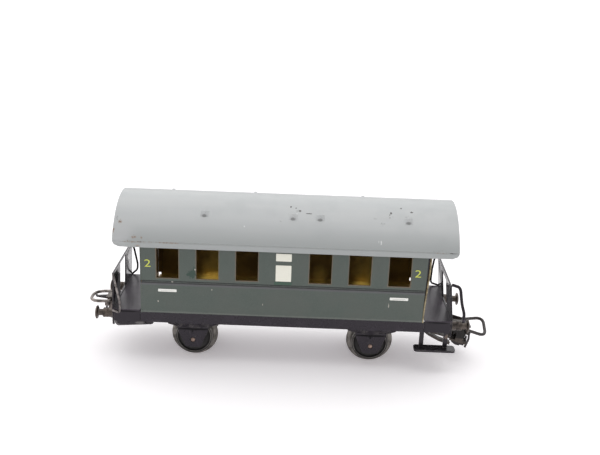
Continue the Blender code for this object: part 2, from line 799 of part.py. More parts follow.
def make_drawbar(coupling, swing, material):
    """Arm with an eye on the post, and at its end a folded head with two cheeks."""
    end = coupling.end
    level = up(ARM_HEIGHT)
    eye = arc((0, 0), 2.4, 90, 270, 10) + [(ARM_BEND - 0.6, -2.0), (ARM_BEND - 0.6, 2.0)]
    outline = [(end * (POST_PLACE + x), y) for x, y in eye]
    shape = prism(outline, "XY", level - ARM_HALF_SHEET, level + ARM_HALF_SHEET)
    drawbar = add_piece("drawbar_" + coupling.word, shape, material, swing)
    root = coupling.reach - HEAD_ROOT
    line = [(end * (POST_PLACE + ARM_BEND - 1.2), level), coupling.place(ARM_BEND, 0)]
    line.append(coupling.place(root + 1.0, 0))
    join(drawbar, prism(ribbon(line, 0.46), "XZ", -1.95, 1.95))
    base = [coupling.place(x, z) for x, z in ((root, -0.3), (coupling.reach + 2.0, -0.3),
                                              (coupling.reach + 2.0, 0.3), (root, 0.3))]
    join(drawbar, prism(base, "XZ", -CHEEK_FACE - 0.05, CHEEK_FACE + 0.05))
    tongue = [(9.0, 0.0), (10.2, -0.5), (12.4, -1.4)]
    tongue += [(coupling.reach - 6, -2.2), (coupling.reach - 2.4, -2.4)]
    tongue = ribbon([coupling.place(x, z) for x, z in tongue], 0.8)
    join(drawbar, prism(tongue, "XZ", -1.0, 1.0))
    rear = coupling.rear
    bridge_rise = 0.132
    bridge = [(rear + 0.2, 0.62 + bridge_rise * (rear - 1.5)), (1.5, 0.62)]
    bridge += [(x, z + 0.4) for x, z in bridge[::-1]]
    join(drawbar, prism(coupling.head(bridge), "XZ", -3.0, 1.4))
    cheek = [(-1.9, -5.1), (0.5, -5.1), (0.7, -2.3), (1.1, -0.9)]
    cheek += arc((0, 0), 1.15, -30, 120, 6)
    cheek += [(rear + 0.5, 1.0), (rear, 0.2), (rear, -2.0), (-1.9, -2.4)]
    lift = math.tan(coupling.loop_lift)
    for side in (-1, 1):
        low_y, high_y = sorted((side * (CHEEK_FACE - CHEEK_SHEET), side * CHEEK_FACE))
        join(drawbar, prism(coupling.head(cheek), "XZ", low_y, high_y))
        twist = coupling.twist * side * LOOP_HALF * 1.2 / LOOP_REACH
        ledge = [(0.3, -1.5), (1.7, -1.5)]
        ledge += [(x, x * lift + twist - 0.62) for x in (1.7, 0.3)]
        low_y, high_y = sorted((side * (CHEEK_FACE - 0.2), side * (LOOP_HALF + 0.3)))
        join(drawbar, prism(coupling.head(ledge), "XZ", low_y, high_y))
    tools = bmesh.new()
    post = end * POST_PLACE
    bar(1.08, (post, 0, level - 1), (post, 0, level + 1), "Z", 16, tools)
    pin_x, pin_z = coupling.head([(0, 0)])[0]
    bar(WIRE_RADIUS + 0.08, (pin_x, -5, pin_z), (pin_x, 5, pin_z), "Y", 16, tools)
    slot = coupling.head([(-2.15, -6.5), (2.6, -6.5), (2.6, -3.5), (-2.15, -3.5)])
    prism(slot, "XZ", -0.5, 0.5, tools)
    cut(drawbar, tools)


def make_hook(coupling, swing, material):
    """Upright plate through the head's slot, with a curved tail and a nose, level or down."""
    plate = [(-2.0, -6.8), (-0.4, -7.45), (0.9, -7.4), (1.1, -6.6), (0.7, -5.2)]
    plate += [(0.7, -3.5), (1.2, -0.9)]
    if coupling.nose == "level":
        plate += [(5.2, -0.35), (5.5, 0.35), (5.1, 0.4), (4.9, 0.1), (1.9, 0.35)]
    plate += [(1.2, 0.3), (0.3, 0.5), (-2.0, -1.6)]
    outline = coupling.head(plate)
    hook = add_piece("hook_" + coupling.word, prism(outline, "XZ", -0.4, 0.4), material, swing)
    tail = [(0.6, -6.8), (2.0, -6.7), (2.3, -5.4), (2.1, -3.6)]
    join(hook, prism(coupling.head(ribbon(tail, 0.6)), "XZ", -0.38, 0.38))
    if coupling.nose == "down":
        nose = [(0.9, -1.2), (2.6, -2.2), (3.2, -4.4), (3.0, -7.5)]
        join(hook, prism(coupling.head(ribbon(nose, 0.55)), "XZ", -0.36, 0.36))


def make_loop(coupling, swing, material):
    """Wire loop whose ends turn inwards through the cheeks."""
    inner = CHEEK_FACE - CHEEK_SHEET - 0.5
    corner = 1.0
    end_corner = 2.6
    path = [(0.0, inner)]
    path += arc((corner, LOOP_HALF - corner), corner, 180, 90, 3)
    path += arc((LOOP_REACH - end_corner, LOOP_HALF - end_corner), end_corner, 90, 0, 6)
    path += [(x, -y) for x, y in path[::-1]]
    pin_x, pin_z = coupling.head([(0, 0)])[0]
    lift = pivot("lift_" + coupling.word, (pin_x, 0, pin_z), swing)
    points = [coupling.loop_point(x, y) for x, y in path]
    add_piece("loop_" + coupling.word, wire(points, WIRE_RADIUS), material, lift, smooth=True)


def make_coupling(coupling, black, steel):
    swing = pivot("swing_" + coupling.word, (coupling.end * POST_PLACE, 0, up(ARM_HEIGHT)))
    make_post(coupling.end, coupling.word, steel)
    make_drawbar(coupling, swing, black)
    make_hook(coupling, swing, black)
    make_loop(coupling, swing, black)


def main():
    remove_everything()
    roof_grey = finish("roof_grey", (0.42, 0.46, 0.46), 0.4, 0.0)
    green = finish("body_green", (0.085, 0.115, 0.1), 0.35, 0.0)
    black = finish("chassis_black", (0.02, 0.02, 0.024), 0.3, 0.0)
    wheel_black = finish("wheel_black", (0.03, 0.03, 0.028), 0.35, 0.6)
    steel = finish("steel", (0.5, 0.45, 0.4), 0.35, 1.0)
    make_roof(roof_grey)
    make_side_wall("side_wall_front", -1, green)
    make_side_wall("side_wall_back", 1, green)
    make_chassis(black)
    make_handrails(black)
    make_steps(black)
    for end, word in ((-1, "left"), (1, "right")):
        make_end_wall("end_wall_" + word, end, green)
        make_platform("platform_" + word, end, black)
        make_end_frame("end_frame_" + word, end, black)
        make_bracket("axle_bracket_" + word, end, black)
        make_rivets(end, word, steel)
        make_wheelset(end, word, steel, wheel_black)
        make_buffers(end, word, black)
    left = Coupling(-1, "left", reach=19.0, rear=-2.1, droop=0, loop_lift=-2, twist=0.0,
                    nose="level")
    right = Coupling(1, "right", reach=22.0, rear=-4.3, droop=15, loop_lift=10, twist=0.36,
                     nose="down")
    make_coupling(left, black, steel)
    make_coupling(right, black, steel)
    for thing in bpy.data.objects:
        if thing.parent is None:
            thing.location.x += COACH_MIDDLE * MM


main()
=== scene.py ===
"""Looks for the model passenger coach: fine sheet metal, paint, wear, light and camera.

Lengths are in millimetres until a mesh is made. X runs along the coach from its own middle,
and heights are measured above the running surface of the wheels, as on the CAD drawing.
"""
import json
import math

import bmesh
import bpy
from mathutils import Matrix, Vector, noise


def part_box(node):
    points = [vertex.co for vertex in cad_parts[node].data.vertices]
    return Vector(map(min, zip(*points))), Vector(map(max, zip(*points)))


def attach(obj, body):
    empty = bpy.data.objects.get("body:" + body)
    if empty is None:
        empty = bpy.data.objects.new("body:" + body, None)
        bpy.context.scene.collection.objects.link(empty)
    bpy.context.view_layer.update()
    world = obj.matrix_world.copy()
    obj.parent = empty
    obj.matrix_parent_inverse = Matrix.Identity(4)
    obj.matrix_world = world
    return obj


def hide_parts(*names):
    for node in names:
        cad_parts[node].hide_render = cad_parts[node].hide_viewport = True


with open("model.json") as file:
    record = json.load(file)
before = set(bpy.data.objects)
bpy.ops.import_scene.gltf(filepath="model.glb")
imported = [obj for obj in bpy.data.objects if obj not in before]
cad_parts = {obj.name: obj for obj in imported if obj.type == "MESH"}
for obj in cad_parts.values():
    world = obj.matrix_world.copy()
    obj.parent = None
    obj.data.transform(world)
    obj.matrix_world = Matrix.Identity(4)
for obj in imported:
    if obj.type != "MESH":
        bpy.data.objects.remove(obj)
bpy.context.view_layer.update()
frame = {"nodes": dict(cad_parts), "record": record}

MM = 0.001
FLANGE_DEPTH = 1.4

# Body and roof, as on the drawing
SHEET = 0.4
BODY_HALF = 15.15
WALL_HALF = 42.0
END_FACE = 42.7
BODY_BOTTOM = 15.45
WAIST = 25.55
WINDOW_SILL = 26.9
WINDOW_HEAD = 36.6
WINDOW_HALF = 3.275
WINDOW_CENTRES = (-34.5, -22.65, -10.9, 10.9, 22.65, 34.5)
WALL_TOP = 38.2
DOOR_HALF = 4.3
DOOR_WINDOW_HALF = 2.8
DOOR_WINDOW_HEAD = 35.6
EAVE = 36.95
CREASE = 38.62
RIDGE = 49.24
ROOF_HALF = 16.94
ROOF_SHEET = 0.5
EAVE_CORNER = 2.0
VENT_ROW = 10.4
VENT_PLACES = (-24.0, 2.2, 10.2, 36.3)
VENT_HEIGHT = 1.3
VENT_HALF = 1.25
WALL_FOOT = 3.8
WALL_FOLD = 1.2
WAIST_GROOVE = 0.25
GROOVE_HALF = 0.45
DOOR_FOOT = 16.36
DOOR_HEAD = 37.2
DOOR_RISE = 0.25
TAB_FACE = 14.3
TAB_SHEET = 0.35

# Chassis, running gear and couplings
SOLEBAR_FACE = 14.6
SOLEBAR_BOTTOM = 12.1
SPRING_HALF = 7.1
SPRING_DIP = 1.55
GUARD_FACE = 12.85
SKIRT_FACE = 14.3
PLATFORM_TOP = 15.86
AXLE_PLACE = 27.3
AXLE_HEIGHT = 5.8
WHEEL_INNER = 7.0
BUFFER_SPACING = 10.55
BUFFER_HEIGHT = 12.9
LOOP_REACH = 6.6
LOOP_HALF = 4.0
LOOP_END = 2.2
WIRE_RADIUS = 0.5

ENDS = ((-1, "left"), (1, "right"))
SIDES = ((-1, "front"), (1, "back"))
CORNERS = [(end, side) for end in (-1, 1) for side in (-1, 1)]


chassis_low, chassis_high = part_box("chassis_frame")
COACH_MIDDLE = (chassis_low.x + chassis_high.x) / 2 / MM


def at(x, y, z):
    """A point of the coach, in the frame's metres."""
    return Vector((x + COACH_MIDDLE, y, z + FLANGE_DEPTH)) * MM


# ---- material graphs


class Graph:
    """One material's nodes. Each call adds a node and returns its output socket."""

    def __init__(self, name, colour, roughness, metallic=0.0, coat=0.0, shine=0.5):
        self.material = bpy.data.materials.new(name)
        self.material.use_nodes = True
        self.material.diffuse_color = (*colour, 1.0)
        self.tree = self.material.node_tree
        self.shader = self.tree.nodes["Principled BSDF"]
        self.shader.inputs["Base Color"].default_value = (*colour, 1.0)
        self.shader.inputs["Roughness"].default_value = roughness
        self.shader.inputs["Metallic"].default_value = metallic
        self.shader.inputs["Coat Weight"].default_value = coat
        self.shader.inputs["Coat Roughness"].default_value = 0.15
        self.shader.inputs["Specular IOR Level"].default_value = shine
        self.place = self.node("ShaderNodeTexCoord").outputs["Object"]

    def node(self, kind, sockets=None, **settings):
        """A new node. sockets gives what goes into its inputs, by their names or numbers."""
        made = self.tree.nodes.new(kind)
        for key, value in settings.items():
            setattr(made, key, value)
        for key, value in (sockets or {}).items():
            self.put(value, made.inputs[key])
        return made

    def put(self, value, socket):
        """Link a socket, or set a plain value."""
        if isinstance(value, bpy.types.NodeSocket):
            self.tree.links.new(value, socket)
        elif isinstance(value, tuple) and len(value) == 3 and len(socket.default_value) == 4:
            socket.default_value = (*value, 1.0)
        else:
            socket.default_value = value

    def stretched(self, x, y, z):
        sockets = {"Vector": self.place, "Scale": (x, y, z)}
        return self.node("ShaderNodeMapping", sockets).outputs["Vector"]

    def clouds(self, size, detail=3.0, rough=0.5, where=None):
        """Noise whose features are about this many millimetres across."""
        sockets = {"Vector": where or self.place, "Scale": 1.0 / (size * MM), "Detail": detail,
                   "Roughness": rough}
        return self.node("ShaderNodeTexNoise", sockets).outputs["Fac"]

    def specks(self, size, where=None):
        """Distance to scattered points that lie about this many millimetres apart."""
        sockets = {"Vector": where or self.place, "Scale": 1.0 / (size * MM)}
        return self.node("ShaderNodeTexVoronoi", sockets).outputs["Distance"]

    def math(self, operation, first, second=0.0):
        return self.node("ShaderNodeMath", {0: first, 1: second}, operation=operation).outputs[0]

    def steps(self, value, low, high, start=0.0, end=1.0):
        """Map low..high to start..end, held at both ends."""
        sockets = {"Value": value, "From Min": low, "From Max": high, "To Min": start, "To Max": end}
        made = self.node("ShaderNodeMapRange", sockets, interpolation_type="SMOOTHSTEP")
        return made.outputs["Result"]

    def mix(self, share, first, second):
        """A share of the way from the first to the second, as colours or as plain values."""
        if isinstance(second, float):
            return self.node("ShaderNodeMix", {0: share, 2: first, 3: second}).outputs[0]
        made = self.node("ShaderNodeMix", data_type="RGBA")
        for key, value in ((0, share), (6, first), (7, second)):
            self.put(value, made.inputs[key])
        return made.outputs[2]

    def patches(self, spots, ragged, share):
        """Over 0 inside any of several patches on the coach, with edges broken up by a noise.

        A spot is its middle and its half sizes along X, Y and Z, in the coach's millimetres.
        """
        best = None
        for spot in spots:
            sockets = {"Vector": self.place, "Location": at(*spot[:3]), "Scale": Vector(spot[3:]) * MM}
            mapping = self.node("ShaderNodeMapping", sockets, vector_type="TEXTURE")
            far = self.node("ShaderNodeVectorMath", {0: mapping.outputs["Vector"]}, operation="LENGTH")
            here = self.math("SUBTRACT", 1.0, far.outputs["Value"])
            best = self.math("MAXIMUM", best, here) if best else here
        breaks = self.math("MULTIPLY", self.math("SUBTRACT", ragged, 0.5), share)
        return self.math("ADD", best, breaks)

    def cover(self, tone, colour, mask, low, high, full=1.0):
        """The tone with another colour over it, from none where the mask is low up to full."""
        return self.mix(self.steps(mask, low, high, 0.0, full), tone, colour)

    def spotted(self, tone, colour, spots, ragged, share, *levels):
        """The tone with ragged patches of another colour over it."""
        return self.cover(tone, colour, self.patches(spots, ragged, share), *levels)

    def edges(self, width):
        """1 along sharp edges and 0 on the flats, from the rounded and the true normal."""
        eased = self.node("ShaderNodeBevel", {"Radius": width * MM}, samples=6).outputs["Normal"]
        true = self.node("ShaderNodeNewGeometry").outputs["Normal"]
        dot = self.node("ShaderNodeVectorMath", {0: eased, 1: true}, operation="DOT_PRODUCT")
        return self.steps(dot.outputs["Value"], 0.99, 0.86)

    def colour(self, value):
        self.put(value, self.shader.inputs["Base Color"])

    def rough(self, value):
        self.put(value, self.shader.inputs["Roughness"])

    def metal(self, value):
        self.put(value, self.shader.inputs["Metallic"])

    def bump(self, height, depth):
        """Relief whose full height is this many millimetres."""
        made = self.node("ShaderNodeBump", {"Distance": depth * MM, "Height": height})
        self.put(made.outputs["Normal"], self.shader.inputs["Normal"])


# Half size of a mark that runs all along the coach
WHOLE = 500

# Marks on the roof, each by its middle and its half sizes along X, Y and Z
CHIPS = (
    (1.45, -6.8, 48.0, 0.45, 0.6, 0.5), (2.95, -7.2, 47.8, 0.3, 0.5, 0.4),
    (4.2, -8.3, 47.3, 0.5, 0.55, 0.5), (6.8, -9.2, 46.8, 1.5, 0.25, 0.3),
    (31.3, -7.9, 47.5, 0.45, 0.7, 0.5), (34.4, -5.5, 48.4, 0.42, 0.6, 0.4),
    (37.5, -7.2, 47.8, 0.6, 0.55, 0.4), (30.9, -8.6, 47.2, 0.2, 0.5, 0.4),
    (-47.9, -16.94, 38.55, 2.2, 0.6, 0.16), (-42.2, -16.94, 38.7, 1.2, 0.5, 0.25),
    (49.2, -16.9, 38.6, 1.6, 0.5, 0.18),
)
RUST = (
    (-48.6, -13.5, 43.6, 0.9, 1.1, 1.0), (-44.0, -16.2, 39.9, 1.2, 0.9, 0.7),
    (-41.8, -16.4, 39.7, 0.5, 0.7, 0.8), (-42.6, -16.94, 38.7, 3.6, 0.6, 0.3),
    (-44.6, -16.94, 38.62, 7.8, 0.6, 0.42), (-33.8, -16.9, 38.6, 7.0, 0.5, 0.24),
    (-42.9, -16.94, 37.4, 1.3, 0.5, 0.5), (46.0, -16.94, 38.6, 5.2, 0.5, 0.2),
    (-50.1, -15.2, 41.6, 0.35, 1.0, 1.6),
)
SCUFFS = (
    (28.6, -11.6, 45.2, 2.8, 1.6, 1.3), (26.6, -9.9, 46.4, 1.4, 0.9, 0.8),
    (31.0, -9.4, 46.6, 1.6, 1.6, 1.0), (36.0, -9.2, 46.8, 2.2, 1.9, 1.2),
    (3.6, -8.4, 47.2, 3.4, 2.0, 1.0), (45.5, -16.6, 39.2, 5.5, 0.9, 0.8),
    (-45.5, -16.6, 39.0, 4.5, 0.9, 0.8), (-49.4, -12.5, 43.8, 0.8, 3.5, 3.2),
    (-1.5, -12.0, 45.0, 1.2, 0.8, 0.7),
)
# Pale spots on the roof; the two beside the vents at -23.2 and 3.3 are painted highlights on the vents'
# lit upper faces.
PALE = (
    (28.2, -15.7, 40.8, 0.28, 0.9, 1.1), (27.5, -15.6, 41.0, 0.14, 0.7, 0.8),
    (-23.2, -9.6, 46.6, 0.35, 0.5, 0.5), (3.3, -9.5, 46.6, 0.25, 0.5, 0.5),
    (-12.0, -13.5, 43.6, 0.25, 0.4, 0.6),
)


def roof_paint():
    """Light grey enamel: orange peel, faint bands along the coach, chips to dark sheet, rust, with
    painted shade towards the eaves and beside the vents, and painted highlights.
    """
    base = (0.505, 0.522, 0.527)
    graph = Graph("roof_enamel", base, 0.42, coat=0.04)
    bands = graph.clouds(5.0, 2.0, where=graph.stretched(0.1, 1.0, 1.0))
    tone = graph.cover(base, (0.545, 0.558, 0.56), bands, 0.3, 0.7)
    tone = graph.cover(tone, (0.47, 0.49, 0.494), graph.clouds(9.0, 4.0), 0.5, 0.72, 0.5)
    # Darker towards the eaves, by height: painted shade.
    height = graph.node("ShaderNodeSeparateXYZ", {0: graph.place}).outputs["Z"]
    unshaded, painted_shade = [at(0, 0, level).z for level in (46.0, 38.0)]
    tone = graph.cover(tone, (0.36, 0.38, 0.378), height, unshaded, painted_shade, 0.9)
    grit = graph.clouds(0.55, 4.0, 0.7)
    fine = graph.clouds(0.3, 3.0, 0.6)
    # Lighter at the low left end: a painted highlight on the crumpled corner.
    painted_end_highlight = ((-49.0, -15.5, 41.0, 6.5, 5.0, 5.0),)
    tone = graph.spotted(tone, (0.51, 0.52, 0.525), painted_end_highlight, grit, 0.3, 0.0, 0.7, 0.85)
    tone = graph.spotted(tone, (0.26, 0.265, 0.26), SCUFFS, grit, 3.2, 0.72, 1.15, 0.6)
    crease = [(0, y, CREASE + 0.1, WHOLE, 0.9, 0.3) for y in (-17.1, 17.1)]
    tone = graph.spotted(tone, (0.17, 0.17, 0.16), crease, grit, 0.35, 0.25, 0.8, 0.65)
    # Darker on each vent's downhill side: painted shade.
    vent_shade = [(side * -place, side * (VENT_ROW + 0.85), 45.62, VENT_HALF * 0.9, 0.75, 0.75)
             for place in VENT_PLACES for side in (-1, 1)]
    tone = graph.spotted(tone, (0.15, 0.155, 0.15), vent_shade, fine, 0.4, 0.12, 0.6, 0.75)
    rust = graph.patches(RUST, grit, 2.6)
    tone = graph.cover(tone, (0.3, 0.21, 0.15), rust, 0.25, 0.75, 0.75)
    tone = graph.cover(tone, (0.12, 0.085, 0.065), rust, 0.75, 1.0, 0.85)
    chips = graph.steps(graph.patches(CHIPS, fine, 1.6), 0.28, 0.5)
    tone = graph.mix(chips, tone, (0.07, 0.062, 0.058))
    # Pale spots, the two beside vents being painted highlights.
    tone = graph.spotted(tone, (0.82, 0.83, 0.83), PALE, fine, 1.2, 0.3, 0.55, 0.75)
    graph.colour(graph.cover(tone, (0.3, 0.31, 0.31), graph.specks(2.6), 0.05, 0.02, 0.3))
    graph.rough(graph.steps(graph.clouds(4.0, 5.0, 0.65), 0.3, 0.75, 0.36, 0.52))
    peel = graph.math("ADD", graph.clouds(0.55, 2.0), graph.math("MULTIPLY", chips, -1.5))
    graph.bump(peel, 0.012)
    return graph.material


def roof_under_paint():
    """Thin, dull grey overspray on the underside of the roof."""
    graph = Graph("roof_underside", (0.35, 0.36, 0.36), 0.6)
    dark = (0.28, 0.29, 0.29)
    graph.colour(graph.cover(dark, (0.42, 0.43, 0.43), graph.clouds(6.0, 5.0), 0.3, 0.7))
    graph.bump(graph.clouds(0.6, 4.0), 0.02)
    return graph.material


# Marks on the body
STAINS = (
    (-27.2, -15.15, 28.4, 1.3, 2, 1.7), (-26.6, -15.15, 29.6, 0.5, 2, 1.2),
    (-28.2, -15.15, 28.2, 1.0, 2, 0.5), (-2.4, -15.15, 26.4, 0.5, 2, 0.4),
    (24.0, 15.15, 24.9, 1.1, 2, 0.8),
)
FLECKS = (
    (-26.3, -15.15, 29.9, 0.35, 2, 0.4), (-21.3, -15.15, 23.6, 0.3, 2, 0.3),
    (-37.4, -15.15, 19.3, 0.3, 2, 0.4), (-33.2, -15.15, 25.7, 0.45, 2, 0.3),
    (31.8, -15.15, 20.6, 0.2, 2, 0.9), (41.9, -15.15, 36.8, 0.6, 2, 0.5),
    (-6.0, -15.15, 19.5, 0.2, 2, 0.4), (9.0, 15.15, 21.5, 0.3, 2, 0.3),
    (-30.0, 15.15, 18.7, 0.5, 2, 0.25),
)


# Lines along both sides: height, half width, raggedness, density and colour. The first three paint
# light at the pressed waist groove: a lighter purple sheen below it and painted shade in it, darkest on
# its upper flank; the last is a pale line along the bottom edge.
BODY_LINES = (
    (WAIST - 0.7, 0.5, 0.45, 0.6, (0.115, 0.112, 0.125)),
    (WAIST - 0.25, 0.34, 0.4, 0.85, (0.055, 0.05, 0.055)),
    (WAIST + 0.2, 0.34, 0.3, 0.95, (0.016, 0.015, 0.017)),
    (BODY_BOTTOM + 0.45, 0.3, 1.2, 0.6, (0.16, 0.17, 0.155)),
)


def window_rims(graph, ragged):
    """How much bare tan metal shows round the windows, from each point's place in X and Z."""
    place = graph.node("ShaderNodeSeparateXYZ", {0: graph.place})
    middle = (WINDOW_SILL + WINDOW_HEAD) / 2 + FLANGE_DEPTH
    tall = (WINDOW_HEAD - WINDOW_SILL) / 2
    from_middle = graph.math("ABSOLUTE", graph.math("SUBTRACT", place.outputs["Z"], middle * MM))
    above = graph.math("DIVIDE", graph.math("SUBTRACT", from_middle, tall * MM), MM)
    nearest = None
    for centre in WINDOW_CENTRES:
        offset = graph.math("SUBTRACT", place.outputs["X"], (centre + COACH_MIDDLE) * MM)
        beside = graph.math("SUBTRACT", graph.math("ABSOLUTE", offset), WINDOW_HALF * MM)
        nearest = graph.math("MINIMUM", nearest, beside) if nearest else beside
    gap = graph.math("MAXIMUM", graph.math("DIVIDE", nearest, MM), above)
    gap = graph.math("ADD", gap, graph.math("MULTIPLY", graph.math("SUBTRACT", ragged, 0.5), 0.5))
    return graph.steps(gap, 0.34, 0.16, 0.0, 0.7)


def body_paint():
    """Dark grey-green lithographed tinplate with fine speckle, dust and scratches, and painted shade
    and sheen at the waist groove.
    """
    base = (0.08, 0.1, 0.087)
    graph = Graph("body_green", base, 0.42, coat=0.03, shine=0.45)
    grain = graph.clouds(0.22, 3.0, 0.7)
    tone = graph.cover((0.073, 0.093, 0.08), (0.088, 0.111, 0.096), grain, 0.35, 0.7)
    tone = graph.cover(tone, (0.096, 0.107, 0.094), graph.clouds(11.0, 3.0), 0.35, 0.7, 0.5)
    ragged = graph.clouds(0.7, 3.0)
    # Painted shade and sheen at the waist groove, and a pale line at the bottom edge.
    for height, half, breaks, full, colour in BODY_LINES:
        line = [(0, side * BODY_HALF, height, WHOLE, 0.6, half) for side in (-1, 1)]
        tone = graph.spotted(tone, colour, line, ragged, breaks, 0.1, 0.6, full)
    tone = graph.mix(window_rims(graph, ragged), tone, (0.17, 0.13, 0.085))
    tone = graph.spotted(tone, (0.018, 0.052, 0.036), STAINS, ragged, 1.6, 0.05, 0.45, 0.85)
    tone = graph.cover(tone, (0.2, 0.215, 0.2), graph.specks(1.9), 0.07, 0.03, 0.4)
    hair = graph.specks(3.4, where=graph.stretched(1.0, 1.0, 0.22))
    tone = graph.cover(tone, (0.18, 0.19, 0.18), hair, 0.035, 0.015, 0.35)
    fine = graph.clouds(0.35, 3.0)
    graph.colour(graph.spotted(tone, (0.5, 0.47, 0.42), FLECKS, fine, 1.4, 0.2, 0.5, 0.8))
    graph.rough(graph.steps(graph.clouds(3.0, 5.0, 0.6), 0.3, 0.75, 0.34, 0.5))
    graph.bump(graph.clouds(0.7, 3.0), 0.01)
    return graph.material


# Painted light inside the body: patches painted bright as if lit, and a glow painted on its bottom fold
# where light catches it
PAINTED_LIT_PATCHES = (
    (-23.6, 14.8, 19.5, 5.6, 9, 9.0), (26.6, 14.8, 19.0, 5.2, 9, 9.0),
    (11.5, 14.8, 18.0, 3.0, 9, 4.0),
)
LIT_FOLD = (
    (-24.6, 13.0, BODY_BOTTOM + 0.4, 6.4, 4.0, 2.3), (25.6, 13.0, BODY_BOTTOM + 0.3, 3.8, 4.0, 0.5),
)


def gold_lacquer():
    """Gold lacquer inside the body, browner where it is thick, with painted light: bright patches and a
    glow on its bottom fold.
    """
    graph = Graph("gold_lacquer", (0.3, 0.2, 0.05), 0.4, metallic=0.3)
    brown = (0.27, 0.17, 0.05)
    tone = graph.cover(brown, (0.44, 0.285, 0.08), graph.clouds(7.0, 4.0), 0.3, 0.7)
    streaks = graph.clouds(5.0, 3.0)
    # Bright gold patches: painted light.
    graph.colour(graph.spotted(tone, (0.95, 0.7, 0.19), PAINTED_LIT_PATCHES, streaks, 1.0, 0.0, 0.9, 0.95))
    # Emission on the bottom fold, stronger in two places and faint all along: a painted glow, not a
    # lamp.
    glow = graph.steps(graph.patches(LIT_FOLD, graph.clouds(1.5, 3.0), 0.7), 0.0, 0.8, 0.0, 0.17)
    whole_fold = ((0, 13.2, BODY_BOTTOM + 0.5, WHOLE, 4.0, 0.9),)
    faint = graph.patches(whole_fold, graph.clouds(4.0, 3.0), 1.0)
    glow = graph.math("MAXIMUM", glow, graph.steps(faint, 0.0, 0.6, 0.0, 0.01))
    graph.shader.inputs["Emission Color"].default_value = (1.0, 0.68, 0.14, 1.0)
    graph.put(glow, graph.shader.inputs["Emission Strength"])
    graph.rough(graph.steps(graph.clouds(2.5, 4.0), 0.3, 0.7, 0.3, 0.5))
    graph.bump(graph.clouds(0.9, 3.0), 0.01)
    return graph.material


def cut_edge(name, colour, worn=0.55, size=1.1):
    """Sheared edge of the sheet, where the lacquer and bare metal show."""
    graph = Graph(name, colour, 0.45, metallic=0.4)
    darker = tuple(channel * worn for channel in colour)
    graph.colour(graph.cover(colour, darker, graph.clouds(size, 4.0), 0.4, 0.62))
    graph.bump(graph.clouds(0.3, 2.0), 0.01)
    return graph.material


# Painted shade on the right coupling's head, worn edges of the raised step, and bare metal
HEAD_SHADE = (
    (57.2, -3.15, 6.6, 5.0, 1.5, 1.9), (58.6, -3.15, 9.9, 0.7, 1.5, 1.6),
    (54.0, -3.15, 9.6, 3.5, 1.5, 0.25),
)
SCRAPED = (
    (-50.6, -13.75, 11.2, 0.5, 0.5, 0.8), (-50.1, -13.75, 10.5, 0.8, 0.5, 0.45),
    (-48.2, -13.75, 10.3, 2.4, 0.5, 0.32), (-45.0, -13.75, 10.55, 2.4, 0.5, 0.28),
    (-43.4, -13.75, 11.3, 2.0, 0.5, 0.6),
)
BARE = (
    (50.5, -13.6, 10.5, 1.0, 1.2, 1.0), (-48.0, -16.0, 13.2, 0.9, 1.2, 0.5),
)


def black_enamel(name="chassis_black", base=(0.0135, 0.0105, 0.0145), wear=0.5, rough=(0.22, 0.34),
                 shine=0.38):
    """Stoved black enamel: satin gloss, dusty in places, worn to grey along the edges, with painted
    shade in given places and a painted purple reflection at platform-top height.
    """
    graph = Graph(name, base, 0.28, coat=0.05, shine=shine)
    graph.shader.inputs["Specular Tint"].default_value = (0.96, 0.91, 1.0, 1.0)
    dusty = tuple(channel * 1.8 for channel in base)
    tone = graph.cover(base, dusty, graph.clouds(4.5, 5.0, 0.6), 0.5, 0.78)
    tone = graph.cover(tone, (0.12, 0.11, 0.11), graph.specks(2.2), 0.06, 0.03, 0.25)
    shaded = []
    for end, side in CORNERS:
        shaded.append((end * AXLE_PLACE, side * GUARD_FACE, 9.45, 6.5, 0.7, 0.42))
        shaded.append((end * AXLE_PLACE - 0.1, side * GUARD_FACE, 8.9, 0.35, 0.7, 0.7))
        shaded.append((end * 47.2, side * SKIRT_FACE, 15.25, 4.0, 0.3, 0.28))
    ragged = graph.clouds(0.7, 3.0)
    shade = graph.steps(graph.patches(shaded, ragged, 0.3), 0.0, 0.35, 0.0, 0.9)
    tone = graph.mix(shade, tone, (0.001, 0.001, 0.001))
    # Purple-grey at platform-top height: a painted reflection on the glossy platform floors.
    tread = ((0, 0, PLATFORM_TOP, WHOLE, WHOLE, 0.4),)
    tone = graph.spotted(tone, (0.05, 0.04, 0.052), tread, graph.clouds(2.0, 3.0), 0.3, 0.2, 0.5, 1.0)
    tone = graph.spotted(tone, (0.16, 0.12, 0.095), BARE, ragged, 1.2, 0.1, 0.4, 0.9)
    fine = graph.clouds(0.6, 3.0)
    tone = graph.spotted(tone, (0.16, 0.15, 0.145), SCRAPED, fine, 0.8, 0.1, 0.5, 0.85)
    rubbed = graph.math("MULTIPLY", graph.edges(0.14), graph.steps(graph.clouds(1.6, 4.0), 0.42, 0.64))
    rubbed = graph.math("MULTIPLY", rubbed, wear)
    graph.colour(graph.mix(rubbed, tone, (0.4, 0.37, 0.35)))
    graph.metal(graph.math("MULTIPLY", rubbed, 0.7))
    satin = graph.steps(graph.clouds(2.2, 5.0, 0.6), 0.3, 0.75, *rough)
    graph.rough(graph.mix(shade, satin, 0.95))
    graph.bump(graph.clouds(1.2, 2.0), 0.004)
    return graph.material


